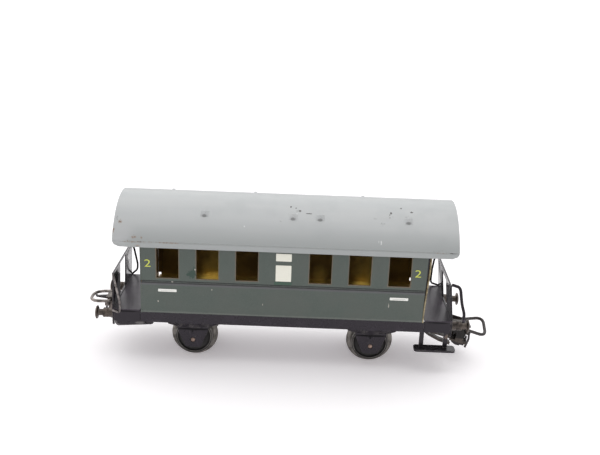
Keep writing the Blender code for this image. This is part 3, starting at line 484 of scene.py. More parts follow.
def metal(name, colour, dark, rough, metallic=0.9, painted_shade=()):
    """Bare or burnished metal with tarnish in clouds, painted shade in given places and fine tool
    marks.
    """
    graph = Graph(name, colour, rough, metallic=metallic)
    tone = graph.cover(colour, dark, graph.clouds(2.4, 5.0, 0.65), 0.38, 0.68)
    if painted_shade:
        # Much darker in the given places: painted shade.
        shade_tone = tuple(channel * 0.25 for channel in dark)
        tone = graph.spotted(tone, shade_tone, painted_shade, graph.clouds(0.8, 3.0), 0.3, 0.0, 0.3, 0.9)
    graph.colour(tone)
    graph.rough(graph.steps(graph.clouds(1.2, 4.0), 0.3, 0.7, rough - 0.08, rough + 0.14))
    graph.bump(graph.clouds(0.6, 3.0), 0.012)
    return graph.material


def print_ink(name, colour, worn, share=0.6):
    """Printed ink with small breaks where the ground shows through."""
    graph = Graph(name, colour, 0.4, coat=0.1)
    graph.colour(graph.cover(colour, worn, graph.clouds(0.4, 4.0, 0.7), 0.6, 0.78, share))
    graph.bump(graph.clouds(0.4, 2.0), 0.006)
    return graph.material


def floor_paper():
    """White light-table paper: mostly lit from above, a little from inside."""
    graph = Graph("studio_floor", (0.93, 0.92, 0.93), 0.8, shine=0.2)
    graph.colour(graph.mix(graph.clouds(60.0, 3.0), (0.92, 0.91, 0.92), (0.95, 0.945, 0.95)))
    graph.shader.inputs["Emission Color"].default_value = (1.0, 0.94, 0.975, 1.0)
    graph.shader.inputs["Emission Strength"].default_value = 0.27
    return graph.material


# ---- mesh helpers


def new_object(name, data):
    made = bpy.data.objects.new(name, data)
    bpy.context.scene.collection.objects.link(made)
    return made


def new_piece(name, shape, materials, body, nodes, smooth_angle=None):
    """Turn a bmesh into a piece that rides on a body and stands for CAD nodes."""
    mesh = bpy.data.meshes.new(name)
    shape.to_mesh(mesh)
    shape.free()
    piece = new_object(name, mesh)
    for material in materials:
        mesh.materials.append(material)
    if smooth_angle:
        mesh.shade_smooth()
        mesh.set_sharp_from_angle(angle=math.radians(smooth_angle))
    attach(piece, body)
    if nodes:
        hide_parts(*nodes)


def thick_sheet(shape, outer, inner, solid=lambda row, column: True):
    """A sheet between two grids of points. solid(row, column) says which cells are metal.

    The outer side gets material 0, the inner side 1 and every cut edge 2.
    """
    rows = len(outer)
    columns = len(outer[0])
    cells = {(row, column) for row in range(rows - 1) for column in range(columns - 1)
             if solid(row, column)}
    verts = {}

    def vert(side, row, column):
        key = (side, row, column)
        if key not in verts:
            verts[key] = shape.verts.new((outer, inner)[side][row][column])
        return verts[key]

    faces = []

    def face(corners, material):
        faces.append(shape.faces.new([vert(*corner) for corner in corners]))
        faces[-1].material_index = material

    for row, column in sorted(cells):
        ring = [(row, column), (row, column + 1), (row + 1, column + 1), (row + 1, column)]
        face([(0, *corner) for corner in ring], 0)
        face([(1, *corner) for corner in ring[::-1]], 1)
        beside = [(row - 1, column), (row, column + 1), (row + 1, column), (row, column - 1)]
        for index in range(4):
            if beside[index] not in cells:
                first = ring[index]
                second = ring[(index + 1) % 4]
                face([(0, *second), (0, *first), (1, *first), (1, *second)], 2)
    bmesh.ops.recalc_face_normals(shape, faces=faces)


def raised(shape, grid, side, thickness):
    """A sheet over rows of (x, y, z) places on a side of the coach, facing outwards."""
    front = [[at(x, side * y, z) for x, y, z in row] for row in grid]
    back = [[point - Vector((0, side * thickness * MM, 0)) for point in row] for row in front]
    thick_sheet(shape, front, back)


def close_tube(shape, rings):
    """Faces between rings of corners and over both end rings."""
    count = len(rings[0])
    for lower, upper in zip(rings, rings[1:]):
        for step in range(count):
            after = (step + 1) % count
            shape.faces.new((lower[step], lower[after], upper[after], upper[step]))
    shape.faces.new(rings[0])
    shape.faces.new(rings[-1])
    bmesh.ops.recalc_face_normals(shape, faces=shape.faces[:])
    return shape


def spaced(low, high, step, edges=(), fine=(), fine_half=2.0, fine_step=0.25):
    """Lines from low to high: coarse steps, exact edges, and close lines round fine places."""
    marks = {low, high}
    marks.update(edges)
    for centre in fine:
        count = round(2 * fine_half / fine_step)
        marks.update(centre - fine_half + index * fine_step for index in range(count + 1))
    marks = sorted(place for place in marks if low <= place <= high)
    lines = [marks[0]]
    for before, after in zip(marks, marks[1:]):
        count = max(1, math.ceil((after - before) / step - 0.01))
        lines += [before + (after - before) * index / count for index in range(1, count + 1)]
    kept = [lines[0]]
    for line in lines[1:]:
        if line - kept[-1] > 0.02 or line in edges:
            kept.append(line)
    kept[-1] = high
    return kept


def smooth(value):
    value = min(max(value, 0.0), 1.0)
    return value * value * (3 - 2 * value)


def ripple(x, y, z, size):
    """Smooth noise from 0 to 1 at a place."""
    return 0.5 + 0.5 * noise.noise(Vector((x, y, z)) / size)


def lathe(profile, segments, centre, axis, bands=None):
    """Turn (radius, place along the axis) points. A closed ring unless both ends are on the axis.

    bands gives a material index for each stretch of the profile.
    """
    along = "XYZ".index(axis)
    first, second = [index for index in range(3) if index != along]
    shape = bmesh.new()
    rings = []
    for radius, level in profile:
        ring = []
        for step in range(segments if radius > 0 else 1):
            angle = 2 * math.pi * step / segments
            place = list(centre)
            place[first] += radius * math.cos(angle)
            place[second] += radius * math.sin(angle)
            place[along] += level
            ring.append(shape.verts.new(at(*place)))
        rings.append(ring)
    if profile[0][0] > 0:
        rings.append(rings[0])
    for index, (lower, upper) in enumerate(zip(rings, rings[1:])):
        for step in range(segments):
            after = (step + 1) % segments
            around = [lower[step % len(lower)], lower[after % len(lower)]]
            around += [upper[after % len(upper)], upper[step % len(upper)]]
            corners = [vert for place, vert in enumerate(around) if vert not in around[:place]]
            face = shape.faces.new(corners)
            face.material_index = bands[index] if bands else 0
    bmesh.ops.recalc_face_normals(shape, faces=shape.faces[:])
    return shape


def rounded(profile, radius, steps=3, closed=False):
    """A line of 2-D points with its corners rounded off."""
    line = [Vector(point) for point in profile]
    count = len(line)
    points = []
    for index, point in enumerate(line):
        if not closed and index in (0, count - 1):
            points.append(tuple(point))
            continue
        before = line[index - 1] - point
        after = line[(index + 1) % count] - point
        reach = min(radius, 0.45 * before.length, 0.45 * after.length)
        start = point + before.normalized() * reach
        end = point + after.normalized() * reach
        for step in range(steps + 1):
            share = step / steps
            curve = start.lerp(point, share).lerp(point.lerp(end, share), share)
            points.append(tuple(curve))
    return points


def strip(line, low, high, thickness):
    """A flat strip of sheet bent along a line in X and Z, between two Y levels, edges eased."""
    path = [Vector(point) for point in rounded(line, 0.7, 5)]
    half = thickness / 2
    ease = min(0.12, half * 0.6)
    section = [(low, half - ease), (low + ease, half), (high - ease, half), (high, half - ease),
               (high, ease - half), (high - ease, -half), (low + ease, -half), (low, ease - half)]
    shape = bmesh.new()
    rings = []
    for index, point in enumerate(path):
        ahead = path[min(index + 1, len(path) - 1)] - path[max(index - 1, 0)]
        ahead.normalize()
        normal = Vector((-ahead.y, ahead.x))
        ring = []
        for across, out in section:
            x, z = point + normal * out
            ring.append(shape.verts.new(at(x, across, z)))
        rings.append(ring)
    return close_tube(shape, rings)


# ---- roof


def roof_arc():
    """Radius and centre height of the arc that joins both creases over the ridge."""
    rise = RIDGE - CREASE
    radius = (ROOF_HALF ** 2 + rise ** 2) / (2 * rise)
    return radius, RIDGE - radius


ROOF_RADIUS, ROOF_CENTRE = roof_arc()
SHOULDER = ROOF_RADIUS * math.asin(ROOF_HALF / ROOF_RADIUS)
VENT_ALONG = ROOF_RADIUS * math.asin(VENT_ROW / ROOF_RADIUS)


def roof_section(place):
    """(y, z) and outward (y, z) at a distance along the section from the ridge."""
    side = -1 if place < 0 else 1
    along = abs(place)
    if along > SHOULDER:
        return (side * ROOF_HALF, CREASE - (along - SHOULDER)), (side, 0.0)
    angle = along / ROOF_RADIUS
    out = (side * math.sin(angle), math.cos(angle))
    return (ROOF_RADIUS * out[0], ROOF_CENTRE + ROOF_RADIUS * out[1]), out


def vent_height(x, along):
    """Height of the pressed ventilators above the roof at a place."""
    height = 0.0
    for index, place in enumerate(VENT_PLACES):
        for side in (-1, 1):
            across = abs(along - side * VENT_ALONG)
            lengthwise = x + side * place
            if across > VENT_HALF + 0.3 or abs(lengthwise) > VENT_HALF + 0.6:
                continue
            rise = 1 - max(across, abs(lengthwise)) / VENT_HALF
            full = VENT_HEIGHT * (0.5 if side > 0 and index == 1 else 1.0)
            height = max(height, full * min(max(rise, 0) * 1.06, 1.0))
    return height


def roof_dent(x, along):
    """How far the sheet is pushed in: the eave's crease, a crumpled corner, waves and knocks."""
    knocks = (
        (-49.0, -21.4, 2.4, 1.6, 0.42),
        (-44.5, -19.8, 2.6, 1.0, 0.22),
        (-38.0, -20.6, 3.5, 0.6, 0.12),
        (-50.0, -15.0, 1.2, 3.5, 0.16),
        (29.0, -11.5, 2.6, 1.2, 0.12),
        (34.0, -6.5, 2.0, 1.2, 0.08),
        (3.0, -7.6, 1.8, 1.0, 0.1),
        (47.0, -20.6, 2.5, 0.7, 0.15),
        (22.0, 16.0, 4.0, 2.0, 0.15),
    )
    depth = 0.06 * ripple(x, along, 0, 14.0) + 0.03 * ripple(x, along, 3, 4.0)
    depth += 0.16 * math.exp(-((abs(along) - SHOULDER + 0.1) / 0.25) ** 2)
    for place, row, half_x, half_row, full in knocks:
        depth += full * math.exp(-((x - place) / half_x) ** 2 - ((along - row) / half_row) ** 2)
    return depth


def make_roof(paint, under, edge):
    low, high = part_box("roof")
    left = low.x / MM - COACH_MIDDLE
    right = high.x / MM - COACH_MIDDLE
    reach = SHOULDER + CREASE - EAVE
    vents = [side * -place for place in VENT_PLACES for side in (-1, 1)]
    xs = spaced(left, right, 0.8, fine=vents, fine_half=1.9, fine_step=0.19)
    bends = [SHOULDER + 0.12 * step for step in range(-5, 5)]
    rows = spaced(-reach, reach, 0.7, edges=bends + [-bend for bend in bends],
                  fine=(-VENT_ALONG, VENT_ALONG), fine_half=1.8, fine_step=0.18)

    def point(along, x, depth):
        (y, z), (out_y, out_z) = roof_section(along)
        rise = z - EAVE
        inset = 0.0
        if rise < EAVE_CORNER:
            inset = EAVE_CORNER - math.sqrt(EAVE_CORNER ** 2 - (EAVE_CORNER - rise) ** 2)
        pull = inset * smooth((left + 5 - x) / 5) - inset * smooth((x - right + 5) / 5)
        lift = vent_height(x, along) - roof_dent(x, along) - depth
        return at(x + pull, y + out_y * lift, z + out_z * lift)

    shape = bmesh.new()
    thick_sheet(shape, *[[[point(along, x, depth) for x in xs] for along in rows]
                         for depth in (0.0, ROOF_SHEET)])
    new_piece("roof_shell", shape, (paint, under, edge), "coach", ["roof"], 30)


# ---- body


def wall_line():
    """The wall's outside from the bottom flange over the face to the top flange, as (y, z)."""
    line = [(BODY_HALF - WALL_FOOT, BODY_BOTTOM), (BODY_HALF - 0.35, BODY_BOTTOM)]
    line += [(BODY_HALF - 0.1, BODY_BOTTOM + 0.1), (BODY_HALF, BODY_BOTTOM + 0.35)]
    below = spaced(BODY_BOTTOM + 0.35, WAIST - GROOVE_HALF, 1.3)[1:]
    line += [(BODY_HALF, z) for z in below]
    for step in range(1, 10):
        share = step / 10
        dip = WAIST_GROOVE * min(1.0, 1.25 * math.sin(math.pi * share))
        line.append((BODY_HALF - dip, WAIST + GROOVE_HALF * (2 * share - 1)))
    above = spaced(WAIST + GROOVE_HALF, WALL_TOP - 0.35, 1.2, edges=(WINDOW_SILL, WINDOW_HEAD),
                   fine=(WINDOW_SILL, WINDOW_HEAD), fine_half=0.2, fine_step=0.2)
    line += [(BODY_HALF, z) for z in above]
    line += [(BODY_HALF - 0.1, WALL_TOP - 0.1), (BODY_HALF - 0.35, WALL_TOP)]
    line.append((BODY_HALF - WALL_FOLD, WALL_TOP))
    return line


def inset_line(line, depth):
    """The line moved inwards by the sheet's thickness."""
    moved = []
    points = [Vector(point) for point in line]
    for index, point in enumerate(points):
        before = point - points[max(index - 1, 0)]
        after = points[min(index + 1, len(points) - 1)] - point
        ahead = (before.normalized() + after.normalized()).normalized()
        normal = Vector((ahead.y, -ahead.x))
        steer = after if after.length > 0 else before
        mitre = max(0.5, abs(Vector((steer.y, -steer.x)).normalized().dot(normal)))
        moved.append(tuple(point - normal * depth / mitre))
    return moved


def make_side_wall(name, side, materials):
    """A side sheet with six windows and the pressed waist line."""
    jambs = [centre + half for centre in WINDOW_CENTRES for half in (-WINDOW_HALF, WINDOW_HALF)]
    xs = spaced(-WALL_HALF, WALL_HALF, 1.3, edges=jambs,
                fine=jambs + [0.5 - WALL_HALF, WALL_HALF - 0.5], fine_half=0.25, fine_step=0.25)
    line = wall_line()

    def sag(x, z):
        calm = smooth((z - BODY_BOTTOM) / 3) * smooth((WALL_TOP - z) / 3)
        return calm * (0.07 * ripple(x, side * 9, z, 9.0) + 0.03 * ripple(x, side * 5, z, 2.5))

    def spread(x, z):
        """The front wall's ends reach out to the end sheets, further at the right-hand top."""
        if side > 0:
            return x
        if x < 0:
            return x - 0.25 * smooth(1 - x - WALL_HALF)
        return x + (0.2 + 0.35 * smooth((z - BODY_BOTTOM) / 20)) * smooth(1 + x - WALL_HALF)

    def torn(x, z):
        """Small notches low in the back wall's ends, where light comes through."""
        if x < 0:
            return x < 0.5 - WALL_HALF and 16.2 < z < 17.0
        return x > WALL_HALF - 0.55 and 16.6 < z < 18.6

    def solid(row, column):
        x = (xs[column] + xs[column + 1]) / 2
        z = (line[row][1] + line[row + 1][1]) / 2
        if side > 0 and torn(x, z):
            return False
        if not WINDOW_SILL < z < WINDOW_HEAD:
            return True
        return all(abs(x - centre) > WINDOW_HALF for centre in WINDOW_CENTRES)

    shape = bmesh.new()
    thick_sheet(shape, *[[[at(spread(x, z), side * (y - sag(x, z)), z) for x in xs] for y, z in rows]
                         for rows in (line, inset_line(line, SHEET))], solid)
    new_piece("side_panel_" + name, shape, materials, "coach", ["side_wall_" + name], 30)


def make_end_wall(name, end, materials, flange_material):
    """End sheet with its raised door, and a flange behind each of its side edges.

    The right one's front edge is bent a little outwards.
    """
    inner_radius = ROOF_RADIUS - ROOF_SHEET - 0.1
    half = BODY_HALF - 0.05
    ys = spaced(-half, half, 1.0, edges=(-DOOR_WINDOW_HALF, DOOR_WINDOW_HALF),
                fine=(-DOOR_HALF, DOOR_HALF), fine_half=0.3, fine_step=0.1)
    flat_top = WALL_TOP + 0.3
    zs = spaced(BODY_BOTTOM, flat_top, 1.1, edges=(WINDOW_SILL, DOOR_WINDOW_HEAD),
                fine=(DOOR_FOOT, DOOR_HEAD), fine_half=0.3, fine_step=0.1)
    crown_rows = 6

    def height(row, y):
        if row < len(zs):
            return zs[row]
        top = ROOF_CENTRE + math.sqrt(inner_radius ** 2 - y ** 2)
        return flat_top + (top - flat_top) * (row - len(zs) + 1) / crown_rows

    def rise(y, z):
        door = smooth((DOOR_HALF + 0.15 - abs(y)) / 0.3)
        tall = smooth((z - DOOR_FOOT + 0.16) / 0.3) * smooth((DOOR_HEAD + 0.15 - z) / 0.3)
        return DOOR_RISE * door * tall

    def lean(y, z):
        waves = 0.05 * ripple(end * 40, y, z, 8.0)
        if end < 0:
            return -waves
        return 0.95 * smooth((-y - 8) / 7) * smooth((z - BODY_BOTTOM) / 20) - waves

    def point(row, y, depth):
        z = height(row, y)
        return at(end * (END_FACE + rise(y, z) + lean(y, z) - depth), y, z)

    def solid(row, column):
        y = (ys[column] + ys[column + 1]) / 2
        low = height(row, y)
        return abs(y) > DOOR_WINDOW_HALF or not WINDOW_SILL <= low < DOOR_WINDOW_HEAD - 0.01

    for side, face in SIDES:
        start = BODY_BOTTOM + (0.5 if side < 0 else 1.6 if end < 0 else 3.4)
        heights = [start + (WALL_TOP - 0.5 - start) * step / 12 for step in range(13)]
        places = [[40.9, 41.6, END_FACE - SHEET - 0.05 + lean(side * TAB_FACE, z)] for z in heights]
        flange = bmesh.new()
        raised(flange, [[(end * x, TAB_FACE, z) for x in row] for row, z in zip(places, heights)],
               side, TAB_SHEET)
        new_piece("corner_flange_" + name + "_" + face, flange,
                  (flange_material, materials[1], flange_material), "coach", [])
    shape = bmesh.new()
    rows = range(len(zs) + crown_rows)
    thick_sheet(shape, *[[[point(row, y, depth) for y in ys] for row in rows] for depth in (0, SHEET)],
                solid)
    new_piece("end_panel_" + name, shape, materials, "coach", ["end_wall_" + name], 30)


def flat_print(name, outline, side, lift, thick, material):
    """A thin layer of print on a side wall. The outline is in X and Z, seen from outside."""
    shape = bmesh.new()
    low = side * (BODY_HALF + lift - 0.12)
    high = side * (BODY_HALF + lift + thick)
    rings = [[shape.verts.new(at(-side * x, y, z)) for x, z in outline] for y in (low, high)]
    new_piece(name, close_tube(shape, rings), (material,), "coach", [])


def rectangle(left, bottom, right, top, corner=0.12):
    return rounded([(left, bottom), (right, bottom), (right, top), (left, top)], corner, 3, True)


def numeral(name, x, z, side, material):
    """The class numeral on a side wall."""
    curve = bpy.data.curves.new(name, "FONT")
    curve.body = "2"
    curve.align_x = "CENTER"
    curve.size = 3.35 * MM
    curve.extrude = 0.03 * MM
    curve.offset = -0.02 * MM
    curve.materials.append(material)
    piece = new_object(name, curve)
    piece.rotation_euler = (math.pi / 2, 0, 0 if side < 0 else math.pi)
    piece.location = at(-side * x, side * (BODY_HALF - 0.02), z)
    piece.scale = (1.28, 1.0, 1.0)
    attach(piece, "coach")


def make_prints(side, word, cream, white, green, yellow, grey):
    flat_print("pane_upper_" + word, rectangle(-2.35, 33.6, 2.27, 35.95), side, 0, 0.02, cream)
    flat_print("pane_lower_" + word, rectangle(-2.35, 27.2, 2.27, 32.3), side, 0, 0.02, cream)
    flat_print("pane_sill_" + word, rectangle(-2.75, 26.1, 2.5, 27.0, 0.2), side, 0, 0.015, green)
    for place, end in ((-34.6, "left"), (34.75, "right")):
        ends = (place - 2.75, place + 2.75)
        flat_print("label_" + end + "_" + word, rectangle(ends[0], 22.5, ends[1], 23.35, 0.15),
                   side, 0, 0.02, white)
        flat_print("label_line_" + end + "_" + word,
                   rectangle(ends[0] + 0.8, 22.8, ends[1] - 0.8, 22.92, 0.03), side, 0.02, 0.01, grey)
    numeral("numeral_left_" + word, -40.4, 30.3, side, yellow)
    numeral("numeral_right_" + word, 39.85, 30.15, side, yellow)


# ---- dressed CAD nodes


def dress(node, material, bevel=0.07):
    """Give a CAD node its material, and ease its edges by a few hundredths."""
    thing = frame["nodes"][node]
    thing.data.materials.clear()
    thing.data.materials.append(material)
    weld = thing.modifiers.new("Weld", "WELD")
    weld.merge_threshold = 0.000002
    ease = thing.modifiers.new("Ease", "BEVEL")
    ease.width = bevel * MM
    ease.segments = 2
    ease.limit_method = "ANGLE"
    ease.angle_limit = math.radians(38)
    ease.harden_normals = False


# ---- running gear


def make_wheel(name, end, side, materials):
    """A cast wheel: dished faces, polished tread and flange, turned rings on the rim."""
    profile = [
        (1.03, -0.2), (1.9, -0.2), (2.15, -0.12), (2.25, 0.1), (2.35, 0.45), (2.7, 0.52),
        (4.6, 0.52), (4.95, 0.45), (5.05, 0.12), (5.2, 0.02), (5.6, 0.0), (5.64, 0.06),
        (5.8, 0.06), (5.84, 0.0), (6.85, 0.0), (7.06, 0.08), (7.17, 0.22), (7.2, 0.36),
        (7.16, 0.55), (7.05, 0.72), (6.6, 0.9), (6.25, 1.02), (5.98, 1.22), (5.84, 1.5),
        (5.77, 2.0), (5.7, 2.7), (5.64, 3.14), (5.56, 3.27), (5.3, 3.3), (5.26, 3.22),
        (5.12, 3.22), (5.08, 3.3), (4.95, 3.27), (4.85, 3.1), (4.78, 2.8), (4.6, 2.66),
        (3.6, 2.64), (3.56, 2.58), (3.4, 2.58), (3.36, 2.64), (2.5, 2.65), (2.32, 2.75),
        (2.24, 3.05), (2.18, 3.36), (2.0, 3.5), (1.03, 3.5),
    ]
    bands = []
    for radius, place in profile:
        polished = radius > 6.4 or (radius > 5.55 and 1.0 < place < 3.2) or radius in (5.26, 5.12)
        bands.append(1 if polished else 0)
    turned = [(radius, side * (WHEEL_INNER + place)) for radius, place in profile]
    shape = lathe(turned, 96, (end * AXLE_PLACE, 0, AXLE_HEIGHT), "Y", bands)
    word = "left" if end < 0 else "right"
    new_piece("cast_" + name, shape, materials, "wheelset_" + word, [name], 40)


def make_axle(word, end, material):
    shoulder = 11.6
    half = [(0, 12.95), (0.3, 12.94), (0.5, 12.88), (0.68, 12.75), (0.75, 12.6),
            (0.75, shoulder + 0.05), (0.8, shoulder), (0.95, shoulder - 0.02), (1.0, shoulder - 0.1)]
    profile = [(radius, -y) for radius, y in half] + half[::-1]
    shape = lathe(profile, 40, (end * AXLE_PLACE, 0, AXLE_HEIGHT), "Y")
    new_piece("turned_axle_" + word, shape, (material,), "wheelset_" + word,
              ["axle_" + word], 40)


def make_buffer(name, end, side, material):
    """Turned buffer: flanged sleeve with a bead, plain shank, and a mushroom head."""
    profile = [
        (0, 50.7), (0.5, 50.7), (0.85, 50.76), (1.05, 50.9), (1.08, 51.04), (0.7, 51.05),
        (0.7, 51.65), (1.6, 51.65), (1.74, 51.7), (1.75, 51.85), (1.74, 52.0), (1.62, 52.1),
        (1.48, 52.16), (1.45, 52.3), (1.45, 53.2), (1.4, 53.26), (1.4, 53.42), (1.45, 53.48),
        (1.45, 54.7), (1.52, 54.76), (1.52, 55.0), (1.44, 55.1), (1.1, 55.14), (1.0, 55.2),
        (1.0, 56.4), (1.08, 56.62), (1.4, 56.74), (1.9, 56.8), (2.03, 56.88), (2.06, 57.02),
        (2.03, 57.18), (1.88, 57.3), (1.5, 57.44), (1.1, 57.53), (0, 57.55),
    ]
    profile = [(radius, end * x) for radius, x in profile]
    shape = lathe(profile, 48, (0, side * BUFFER_SPACING, BUFFER_HEIGHT), "X")
    new_piece("turned_" + name, shape, (material,), "coach", [name], 40)


def make_rivet(name, material):
    """A domed rivet in its CAD node's place."""
    low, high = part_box(name)
    x = (low.x + high.x) / 2 / MM - COACH_MIDDLE
    y = (low.y + high.y) / 2 / MM
    bottom = low.z / MM - FLANGE_DEPTH
    top = high.z / MM - FLANGE_DEPTH
    profile = [(0, 0), (0.35, 0.03), (0.7, 0.12), (0.95, 0.26), (1.08, 0.42), (1.1, 0.5), (0.6, 0.5)]
    height = top - bottom
    profile += [(0.6, height - 0.3), (0.92, height - 0.3), (0.95, height - 0.22)]
    profile += [(0.82, height - 0.08), (0.5, height - 0.01), (0, height)]
    shape = lathe(profile, 32, (x, y, bottom), "Z")
    new_piece("domed_" + name, shape, (material,), "coach", [name], 40)


# ---- platforms


def make_handrail(name, end, side, material):
    """Bent strips beside the platforms. One is bent outwards."""
    lines = {
        "left_front": [(50.9, 27.3), (50.1, 23.3), (49.15, 18.3), (49.1, 16.2), (49.4, 14.8),
                       (51.5, 15.6)],
        "left_back": [(51.2, 27.2), (50.3, 24.8), (49.25, 19.3), (49.45, 17.4), (51.4, 15.7)],
        "right_back": [(50.0, 27.2), (49.2, 25.3), (48.7, 21.4), (48.6, 17.4), (49.0, 16.6),
                       (51.3, 15.9)],
        "right_front": [(50.55, 27.35), (52.8, 26.7), (53.35, 25.6), (53.7, 23.4), (54.2, 20.9),
                        (55.1, 18.0), (55.1, 15.1)],
    }
    bent_out = name == "handrail_right_front"
    across = (12.8, 13.3) if bent_out else (14.35, 14.8)
    line = [(end * x, z) for x, z in lines[name.removeprefix("handrail_")]]
    low, high = sorted(side * edge for edge in across)
    shape = strip(line, low, high, 0.9 if bent_out else 0.62)
    new_piece("bent_" + name, shape, (material,), "coach", [name], 40)


def make_spring(name, end, side, material):
    """Leaf spring pressed in relief on the solebar: three leaves, with a rib below the buckle."""
    middle = end * AXLE_PLACE
    lowest = SOLEBAR_BOTTOM - SPRING_DIP + 0.2
    section = ((-0.1, -0.15), (0.08, -0.13), (0.13, 0.0), (0.08, 0.13), (-0.1, 0.15))
    shape = bmesh.new()
    for leaf in range(3):
        half = SPRING_HALF - 1.9 * leaf
        sag = 1.25 * (half / SPRING_HALF) ** 2
        curve = []
        for step in range(25):
            x = half * (step / 12 - 1)
            curve.append((middle + x, lowest + 0.42 * leaf + sag * (x / half) ** 2))
        grid = [[(x, SOLEBAR_FACE + out, z + rise) for x, z in curve] for out, rise in section]
        raised(shape, grid, side, 0.06)
    rib = ((-1.07, -0.05), (-0.93, 0.1), (-0.4, 0.1), (0.4, 0.1), (0.93, 0.1), (1.07, -0.05))
    grid = [[(middle + x, GUARD_FACE + out, z) for x, out in rib] for z in (10.3, 9.2, 8.1, 7.0)]
    raised(shape, grid, side, 0.08)
    new_piece(name, shape, (material,) * 3, "coach", [], 40)


def make_gusset(name, end, side, material):
    """Small plate behind the joint between the platform's skirt and the sole bar."""
    shape = bmesh.new()
    raised(shape, [[(end * x, 14.1, z) for x in (42.5, 43.2, 43.9)] for z in (12.6, 14.0, 15.3)],
           side, 0.2)
    new_piece(name, shape, (material,) * 3, "coach", [])


# ---- couplings


def make_loop(word, end):
    """Path of the round wire loop, whose ends turn inwards through the cheeks.

    It hangs from its joint in the record, with the droop of its arm, its own lift and a twist.
    """
    name = "loop_" + word + "_lift"
    joint = next(row for row in frame["record"]["behaviour"]["joints"] if row["name"] == name)
    pivot = Vector(joint["pos_m"]) / MM
    droop, lift, twist = (15, 10, 0.36) if end > 0 else (0, -2, 0.0)
    droop = math.radians(droop)
    lift = math.radians(lift)
    tip = LOOP_REACH - 0.04
    flat = rounded([(0.0, LOOP_END), (0.0, LOOP_HALF), (LOOP_REACH / 3, LOOP_HALF)], 1.0, 5)
    flat += rounded([(-LOOP_HALF, LOOP_HALF), (tip, LOOP_HALF), (tip, -LOOP_HALF)],
                    2.6 if end > 0 else 3.6, 10)[1:-1]
    flat += [(x, -y) for x, y in flat[::-1]]
    path = []
    for x, y in flat:
        drop = twist * y * x / LOOP_REACH
        out = x * math.cos(lift) - drop * math.sin(lift)
        rise = drop * math.cos(lift) + x * math.sin(lift)
        turned_out = out * math.cos(droop) + rise * math.sin(droop)
        turned_rise = rise * math.cos(droop) - out * math.sin(droop)
        path.append(Vector((pivot.x + end * turned_out, y, pivot.z + turned_rise)))
    return path


def sweep(path, radius, sides=20):
    """A round wire along points, in the frame's millimetres, with eased ends."""
    shape = bmesh.new()
    side = None
    rings = []
    last = len(path) - 1
    for index, point in enumerate(path):
        ahead = (path[min(index + 1, last)] - path[max(index - 1, 0)]).normalized()
        side = side or ahead.orthogonal()
        side = (side - ahead * side.dot(ahead)).normalized()
        other = ahead.cross(side)
        size = radius * (0.8 if index in (0, last) else 1.0)
        ring = []
        for step in range(sides):
            angle = 2 * math.pi * step / sides
            place = point + (side * math.cos(angle) + other * math.sin(angle)) * size
            ring.append(shape.verts.new(place * MM))
        rings.append(ring)
    return close_tube(shape, rings)


# ---- studio


def make_camera():
    """In front of the coach and raised, tipped a little, as the photograph was taken."""
    place = Vector((2.764, -251.05, 125.26)) * MM
    yaw, pitch, roll = -0.001, -0.325, 0.038
    ahead = Vector((math.sin(yaw) * math.cos(pitch), math.cos(yaw) * math.cos(pitch), math.sin(pitch)))
    level = Vector((math.cos(yaw), -math.sin(yaw), 0))
    above = level.cross(ahead)
    right = math.cos(roll) * level + math.sin(roll) * above
    top = math.cos(roll) * above - math.sin(roll) * level
    data = bpy.data.cameras.new("camera")
    data.sensor_width = 36.0
    data.lens = 51.305
    data.clip_start = 0.01
    camera = new_object("camera", data)
    pose = Matrix((right, top, -ahead)).transposed().to_4x4()
    pose.translation = place
    camera.matrix_world = pose
    bpy.context.scene.camera = camera


def make_studio():
    mesh = bpy.data.meshes.new("floor")
    half = 6.0
    mesh.from_pydata([(-half, -half, 0), (half, -half, 0), (half, half, 0), (-half, half, 0)], [],
                     [(0, 1, 2, 3)])
    mesh.materials.append(floor_paper())
    new_object("floor", mesh)
    world = bpy.data.worlds.new("studio")
    world.use_nodes = True
    background = world.node_tree.nodes["Background"]
    background.inputs["Color"].default_value = (1.0, 1.0, 1.0, 1.0)
    background.inputs["Strength"].default_value = 0.55
    bpy.context.scene.world = world
    light = bpy.data.lights.new("overhead", "SUN")
    light.energy = 1.8
    light.angle = math.radians(100)
    new_object("overhead", light).rotation_euler = (math.radians(-24), math.radians(-5), 0)
    bpy.context.scene.view_settings.view_transform = "Standard"


# ---- assembly


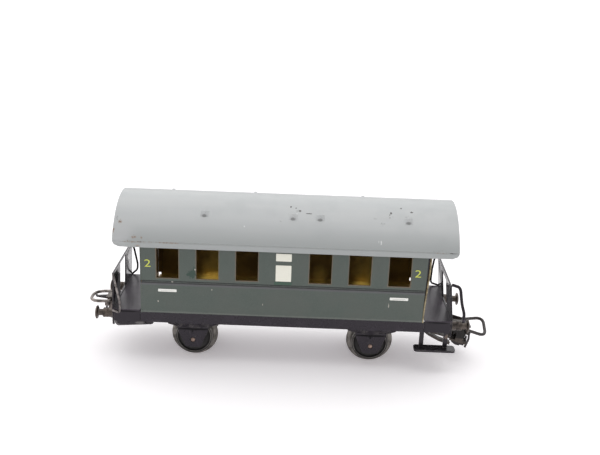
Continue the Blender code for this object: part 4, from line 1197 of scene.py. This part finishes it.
def main():
    make_camera()
    make_studio()
    black = black_enamel()
    railing = black_enamel("railing_black", (0.012, 0.0105, 0.013), wear=1.0, rough=(0.1, 0.18),
                           shine=0.22)
    tray = black_enamel("tray_black", (0.0115, 0.009, 0.012), wear=0.0, rough=(0.3, 0.36))
    step_black = black_enamel("step_black", (0.014, 0.012, 0.014), wear=2.5)
    worn_rail = metal("worn_rail", (0.3, 0.27, 0.26), (0.06, 0.053, 0.052), 0.32, metallic=0.55)
    hook_black = black_enamel("hook_black", (0.028, 0.024, 0.022), wear=0.8, rough=(0.28, 0.42))
    heads = {-1: metal("coupling_pale", (0.19, 0.16, 0.145), (0.03, 0.025, 0.022), 0.32, metallic=0.6),
             1: metal("coupling_dark", (0.085, 0.068, 0.058), (0.014, 0.012, 0.011), 0.34, metallic=0.4,
                      painted_shade=HEAD_SHADE)}
    wires = {-1: metal("wire_bright", (0.36, 0.32, 0.295), (0.1, 0.088, 0.08), 0.3, metallic=0.65),
             1: metal("wire_dark", (0.075, 0.068, 0.064), (0.025, 0.022, 0.021), 0.32, metallic=0.4)}
    steel = metal("axle_steel", (0.4, 0.29, 0.24), (0.17, 0.12, 0.1), 0.4)
    rivet_metal = metal("rivet_metal", (0.4, 0.37, 0.35), (0.13, 0.12, 0.11), 0.4)
    wheel_black = metal("wheel_black", (0.01, 0.009, 0.009), (0.024, 0.021, 0.02), 0.55, metallic=0.0)
    tread = metal("wheel_tread", (0.24, 0.225, 0.205), (0.09, 0.082, 0.075), 0.36, metallic=0.7)
    buffer_brown = metal("buffer_brown", (0.05, 0.04, 0.035), (0.16, 0.13, 0.11), 0.36, metallic=0.5)
    green = body_paint()
    gold = gold_lacquer()
    tan = cut_edge("cut_edge_tan", (0.42, 0.31, 0.18))
    yellow_edge = cut_edge("cut_edge_yellow", (0.36, 0.3, 0.18), 0.35, 1.6)
    cream = print_ink("print_cream", (0.9, 0.89, 0.78), (0.6, 0.6, 0.5), 0.25)
    white = print_ink("print_white", (0.95, 0.95, 0.9), (0.7, 0.72, 0.69), 0.4)
    dark_green = print_ink("print_green", (0.035, 0.085, 0.055), (0.08, 0.11, 0.09))
    yellow = print_ink("print_yellow", (0.68, 0.73, 0.1), (0.35, 0.4, 0.12), 0.4)
    grey = print_ink("print_grey", (0.5, 0.5, 0.48), (0.75, 0.75, 0.72))
    make_roof(roof_paint(), roof_under_paint(), cut_edge("roof_edge", (0.5, 0.5, 0.49)))
    for side, word in SIDES:
        make_side_wall(word, side, (green, gold, tan))
        make_prints(side, word, cream, white, dark_green, yellow, grey)
    dress("chassis_frame", black)
    for end, word in ENDS:
        make_end_wall(word, end, (green, gold, yellow_edge if end > 0 else green), black)
        for node, material in (("platform_", tray), ("end_frame_", railing), ("axle_bracket_", black)):
            dress(node + word, material)
        dress("pivot_post_" + word, rivet_metal)
        dress("drawbar_" + word, heads[end], 0.06)
        dress("hook_" + word, hook_black, 0.06)
        make_axle(word, end, steel)
        for number in ("1", "2"):
            make_rivet("rivet_" + word + "_" + number, rivet_metal)
        new_piece("wire_loop_" + word, sweep(make_loop(word, end), WIRE_RADIUS), (wires[end],),
                  "loop_" + word, ["loop_" + word], 50)
        for side, face in SIDES:
            corner = word + "_" + face
            make_wheel("wheel_" + corner, end, side, (wheel_black, tread))
            make_buffer("buffer_" + corner, end, side, buffer_brown)
            rail = worn_rail if corner == "left_front" else railing
            make_handrail("handrail_" + corner, end, side, rail)
            make_spring("spring_" + corner, end, side, black)
            make_gusset("gusset_" + corner, end, side, black)
            dress("step_" + corner, step_black)


main()
